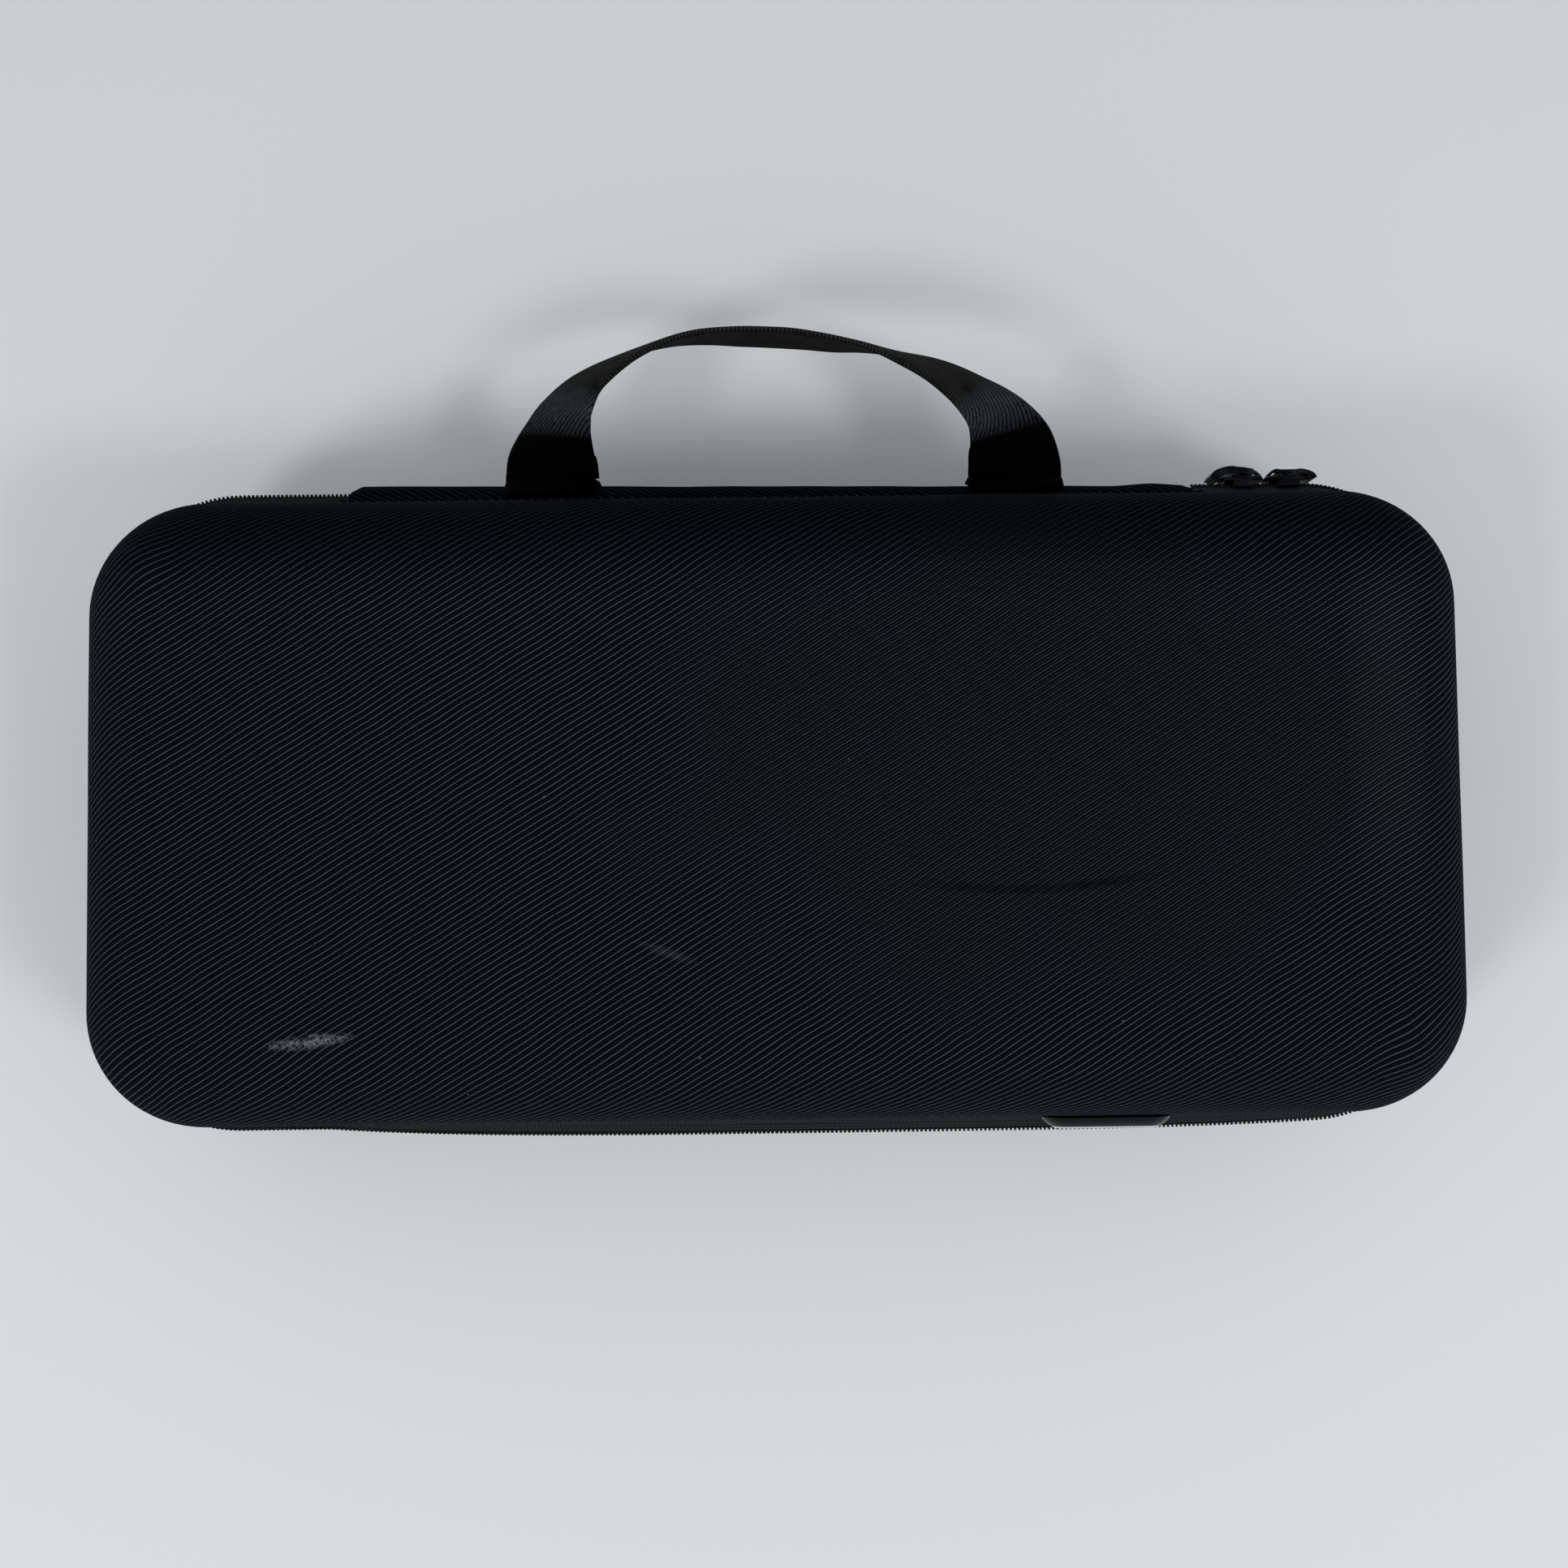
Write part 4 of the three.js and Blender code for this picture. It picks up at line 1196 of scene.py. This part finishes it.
def stadium(half, inset, count=24):
    """Points round a bar with round ends."""
    reach = half[0] - half[1]
    radius = half[1] - inset
    points = []
    for end in (1, -1):
        for i in range(count + 1):
            angle = -math.pi / 2 + math.pi * i / count
            along = reach + radius * math.cos(angle)
            points.append((end * along, end * radius * math.sin(angle)))
    points.append(points[0])
    return np.array(points)


def on_lid_wall(rings):
    """Sets rings of (a along X, b up the wall, height off it) on the lid's front wall."""
    wall = -RIM_HALF_DEPTH + (BADGE_Z - CASE_HEIGHT + SHELL_HEIGHT) * math.tan(DRAFT) - BADGE_SEAT
    rings = np.array(rings)
    placed = np.zeros_like(rings)
    placed[..., 0] = BADGE_X + rings[..., 0]
    placed[..., 1] = wall + rings[..., 1] * math.sin(DRAFT) - rings[..., 2] * math.cos(DRAFT)
    placed[..., 2] = BADGE_Z + rings[..., 1] * math.cos(DRAFT) + rings[..., 2] * math.sin(DRAFT)
    return placed


def badge_part(name, steps, finishes, slot, node, blacked=0):
    """A part of the badge from its steps of (inset, height); its first rows are blacked."""
    rings = []
    for inset, height in steps:
        ring = stadium(BADGE_HALF, inset)
        rings.append(np.column_stack([ring, np.full(len(ring), height)]))
    points = on_lid_wall(rings)
    chart = np.array(rings)[..., :2]
    bands = np.zeros(len(steps) - 1)
    bands[:blacked] = len(finishes) - 1
    part = grid_piece(name, points, chart, finishes, bands, 50)
    close_ends(part)
    return settle(part, "lid", slot, node)


def polished_finish():
    finish = Finish("polished_plate", Metallic=1.0)
    place = finish.place()
    haze = finish.noise(place, 420.0, 4.0)
    colour = finish.mix(haze, (0.62, 0.63, 0.64), (0.80, 0.81, 0.82))
    return finish.wear(Base_Color=colour, Roughness=0.10 + haze * 0.14)


def resin_finish():
    finish = Finish("black_resin", Specular_IOR_Level=0.12)
    place = finish.place()
    swirl = finish.noise(place, 260.0, 5.0)
    colour = finish.mix(swirl, (0.0015, 0.0016, 0.0019), (0.007, 0.0073, 0.008))
    return finish.wear(Base_Color=colour, Roughness=0.16 + swirl * 0.14)


RESIN = resin_finish()
rim_steps = [(0.3, 0), (0, 0.2), (0.35, 0.75), (1.0, 1.45), (1.8, 2.1), (2.5, 2.55), (3.0, 2.88),
             (3.5, 3.0), (3.85, 2.8), (4.0, 2.3), (4.1, 0), (0.3, 0)]
badge_part("badge_polished_rim", rim_steps, [polished_finish(), RESIN], "bright", "badge_rim", 5)
dome_steps = [(4.65, 0), (4.65, 2.0), (4.8, 2.4), (5.2, 2.6), (5.8, 2.7), (6.4, 2.75)]
badge_part("badge_resin_dome", dome_steps, [RESIN], "resin", "badge_plate")


# ---- Foam tray ----
# A block of closed-cell foam cut to the base, with a long pocket, a short one and a finger
# notch across the long pocket's edges.
TRAY_TOP = 35


def tray():
    """The frame's own tray, copied, with its cut edges eased."""
    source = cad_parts["foam_tray"]
    mesh = source.data.copy()
    mesh.name = "tray_foam"
    mesh.materials.clear()
    work = bmesh.new()
    work.from_mesh(mesh)
    bmesh.ops.remove_doubles(work, verts=work.verts, dist=1e-5)
    bmesh.ops.dissolve_limit(work, angle_limit=math.radians(2), verts=work.verts, edges=work.edges)
    work.to_mesh(mesh)
    work.free()
    mesh.polygons.foreach_set("use_smooth", np.ones(len(mesh.polygons), bool))
    mesh.materials.append(foam_finish("cut_foam", (0.019, 0.019, 0.021)))
    piece = bpy.data.objects.new("tray_foam", mesh)
    bpy.context.scene.collection.objects.link(piece)
    ease = piece.modifiers.new("cut_edges", "BEVEL")
    ease.width = 0.0009
    ease.segments = 2
    ease.limit_method = "ANGLE"
    ease.angle_limit = math.radians(40)
    ease.harden_normals = True
    return piece


settle(tray(), "base", "foam", "foam_tray")


# ---- Retaining strap ----
# Ribbed elastic across the long pocket, held at each end by a stitched webbing patch.
STRAP_X = -44
STRAP_HALF = 15


def elastic_finish():
    finish = Finish("ribbed_elastic", Specular_IOR_Level=0.3, Sheen_Weight=0.05)
    along, across = finish.surface("chart")
    rib = (across / 1.5).fraction().hump(0.5, 0.5)
    weave = (along / 0.7 + (across / 1.5).floor() * 0.5).fraction().hump(0.5, 0.5)
    height = rib * 0.7 + weave * 0.3
    colour = finish.mix(height, (0.003, 0.003, 0.0035), (0.017, 0.017, 0.019))
    normal = finish.relief(height, 0.25, 0.8)
    return finish.wear(Base_Color=colour, Roughness=0.8 - rib * 0.2, Normal=normal)


ELASTIC = elastic_finish()


def flat_band(name, x_span, y_span, z_low, thick, finish, length_on_y, sag=0.0):
    """A flat woven band with rounded edges, its ribs along its length."""
    if length_on_y:
        half = (x_span[1] - x_span[0]) / 2
        stations = np.linspace(*y_span, 40)
    else:
        half = (y_span[1] - y_span[0]) / 2
        stations = np.linspace(*x_span, 140)
    upper = [(half * s, thick / 2 * (1 - 0.8 * abs(s) ** 12)) for s in np.linspace(-1, 1, 15)]
    section = np.array([*upper, *[(a, -b) for a, b in upper[::-1]], upper[0]])
    middle = (sum(x_span) / 2, sum(y_span) / 2)
    points = np.zeros((len(section), len(stations), 3))
    lift = z_low + thick / 2 + section[:, 1]
    share = (stations - stations.mean()) / (np.ptp(stations) / 2)
    points[..., 2] = lift[:, None] - sag * (1 - share[None, :] ** 2)
    if length_on_y:
        points[..., 0] = middle[0] + section[:, 0][:, None]
        points[..., 1] = stations[None, :]
    else:
        points[..., 0] = stations[None, :]
        points[..., 1] = middle[1] + section[:, 0][:, None]
    chart = np.zeros((*points.shape[:2], 2))
    chart[..., 0] = stations[None, :]
    chart[..., 1] = section[:, 0][:, None]
    band = grid_piece(name, points, chart, [finish], None, 60)
    close_ends(band)
    return band


strap_span = (STRAP_X - STRAP_HALF, STRAP_X + STRAP_HALF)
strap = flat_band("elastic_strap", strap_span, (-68, 68), TRAY_TOP + 0.3, 1.2, ELASTIC, True)
settle(strap, "base", "elastic", "tray_strap")
for name, side in (("front", -1), ("back", 1)):
    y_span = tuple(sorted((side * 58.5, side * 67.5)))
    x_span = (strap_span[0] - 2, strap_span[1] + 2)
    patch = flat_band(f"patch_{name}", x_span, y_span, TRAY_TOP + 1.8, 1.0, WEBBING, False)
    settle(patch, "base", "webbing", f"strap_patch_{name}")
    rows = [[(x_span[0] + 2, y, TRAY_TOP + 2.8), (x_span[1] - 2, y, TRAY_TOP + 2.8)]
            for y in (y_span[0] + 2, y_span[1] - 2)]
    stitches(f"patch_{name}_stitching", rows, [(0, 0, 1)] * 2, "base", 2.6, 1.9)


# ---- Net pocket ----
# Warp-knit net in the lid, bound on three sides with ribbon and gathered on elastic at its
# mouth, which opens to the front.
NET_Z = 58
NET_MOUTH_Y = -40
NET_CELL = 3.4
NET_THREAD = 0.26


def net_finish():
    finish = Finish("knitted_net", Roughness=0.7, Specular_IOR_Level=0.35)
    twist = finish.noise(finish.place(), 1500.0, 2.0)
    colour = finish.mix(twist, (0.008, 0.0085, 0.0095), (0.032, 0.033, 0.036))
    return finish.wear(Base_Color=colour, Normal=finish.relief(twist, 0.08, 0.5))


def inside_lid(x, y, inset):
    """Whether a point lies within the lid's outline at an inset."""
    radius = max(RIM_CORNER - inset, 1)
    ax = abs(x) - (RIM_HALF_LENGTH - inset - radius)
    ay = abs(y) - (RIM_HALF_DEPTH - inset - radius)
    return math.hypot(max(ax, 0), max(ay, 0)) < radius and ax < radius and ay < radius


def net_lines():
    """The threads of a hexagonal net: zigzags that meet and part."""
    lines = []
    step = NET_CELL / 2
    inset = wall_inset(CASE_HEIGHT - NET_Z, BINDING_DEPTHS[1] + 0.3) + 0.4
    for row in range(int(112 / step) + 1):
        y = NET_MOUTH_Y + 0.2 + row * step
        for column in range(int(330 / NET_CELL) + 1):
            x = -165 + column * NET_CELL + (row % 2) * NET_CELL / 2
            a = (x, y)
            for dx in (-NET_CELL / 2, NET_CELL / 2):
                b = (x + dx, y + step * 0.62)
                c = (x + dx, y + step)
                if all(inside_lid(*p, inset) for p in (a, b, c)):
                    lines.append((a, b))
                    lines.append((b, c))
    return list(dict.fromkeys(lines))


def net():
    verts, faces = [], []
    for (ax, ay), (bx, by) in net_lines():
        a = np.array([ax, ay, 0])
        b = np.array([bx, by, 0])
        along = (b - a) / np.linalg.norm(b - a)
        side = np.array([-along[1], along[0], 0])
        first = len(verts)
        for end in (a - along * 0.08, b + along * 0.08):
            dip = NET_Z + 0.4 + 0.25 * noise.noise(Vector((end[0] / 30, end[1] / 30, 9)))
            for u, w in ((1, 0), (0, 1), (-1, 0), (0, -1)):
                verts.append(end + side * u * NET_THREAD + np.array([0, 0, dip + w * NET_THREAD]))
        for k in range(4):
            n = (k + 1) % 4
            faces.append((first + k, first + n, first + 4 + n, first + 4 + k))
        faces.append((first + 3, first + 2, first + 1, first))
        faces.append((first + 4, first + 5, first + 6, first + 7))
    mesh = bpy.data.meshes.new("knitted_net")
    mesh.from_pydata((np.array(verts) / 1000).tolist(), [], faces)
    mesh.polygons.foreach_set("use_smooth", np.ones(len(mesh.polygons), bool))
    mesh.materials.append(net_finish())
    piece = bpy.data.objects.new("knitted_net", mesh)
    bpy.context.scene.collection.objects.link(piece)
    return piece


settle(net(), "lid", "net", "net_pocket")


def net_ribbon():
    """The ribbon that binds the net's back and ends, from one end of the mouth to the other."""
    inset = wall_inset(CASE_HEIGHT - NET_Z, BINDING_DEPTHS[1] + 0.3)

    def bound(depth):
        plan, outward = rim_outline(depth)
        keep = plan[:-1, 1] > NET_MOUTH_Y + 0.5
        first = int(np.argmax(~keep))
        order = np.roll(np.arange(len(keep)), -first)
        order = order[keep[order]]
        return plan[order], outward[order]

    base_plan, _ = bound(inset)
    count = len(base_plan)

    def ring(depth):
        plan, outward = bound(depth)
        line = np.column_stack([plan, np.zeros(len(plan))])
        length = np.linalg.norm(np.diff(line, axis=0), axis=1).sum()
        even, tangents, _ = resample(line, length / (count - 1))
        return even[:, :2], tangents[:, :2]

    low, high = NET_Z - 1.1, NET_Z - 0.3
    section = [(inset, low + 0.2), (inset + 0.2, low), (inset + 6.8, low), (inset + 7, low + 0.2),
               (inset + 7, high - 0.2), (inset + 6.8, high), (inset + 0.2, high),
               (inset, high - 0.2)]
    points, chart = swept_band(section, ring)
    ribbon = grid_piece("net_ribbon", points, chart, [GROSGRAIN], None, 60)
    close_ends(ribbon)
    settle(ribbon, "lid", "binding", "net_binding")
    seam, _ = bound(inset + 5.6)
    line = np.column_stack([seam, np.full(len(seam), low)])
    stitches("net_ribbon_seam", [line], [(0, 0, -1)], "lid", 3.0)


net_ribbon()
hem_y = (NET_MOUTH_Y - 5.3, NET_MOUTH_Y - 0.3)
hem = flat_band("net_mouth_elastic", (-158, 158), hem_y, NET_Z - 0.5, 1.8, ELASTIC, False)
settle(hem, "lid", "elastic", "net_elastic")
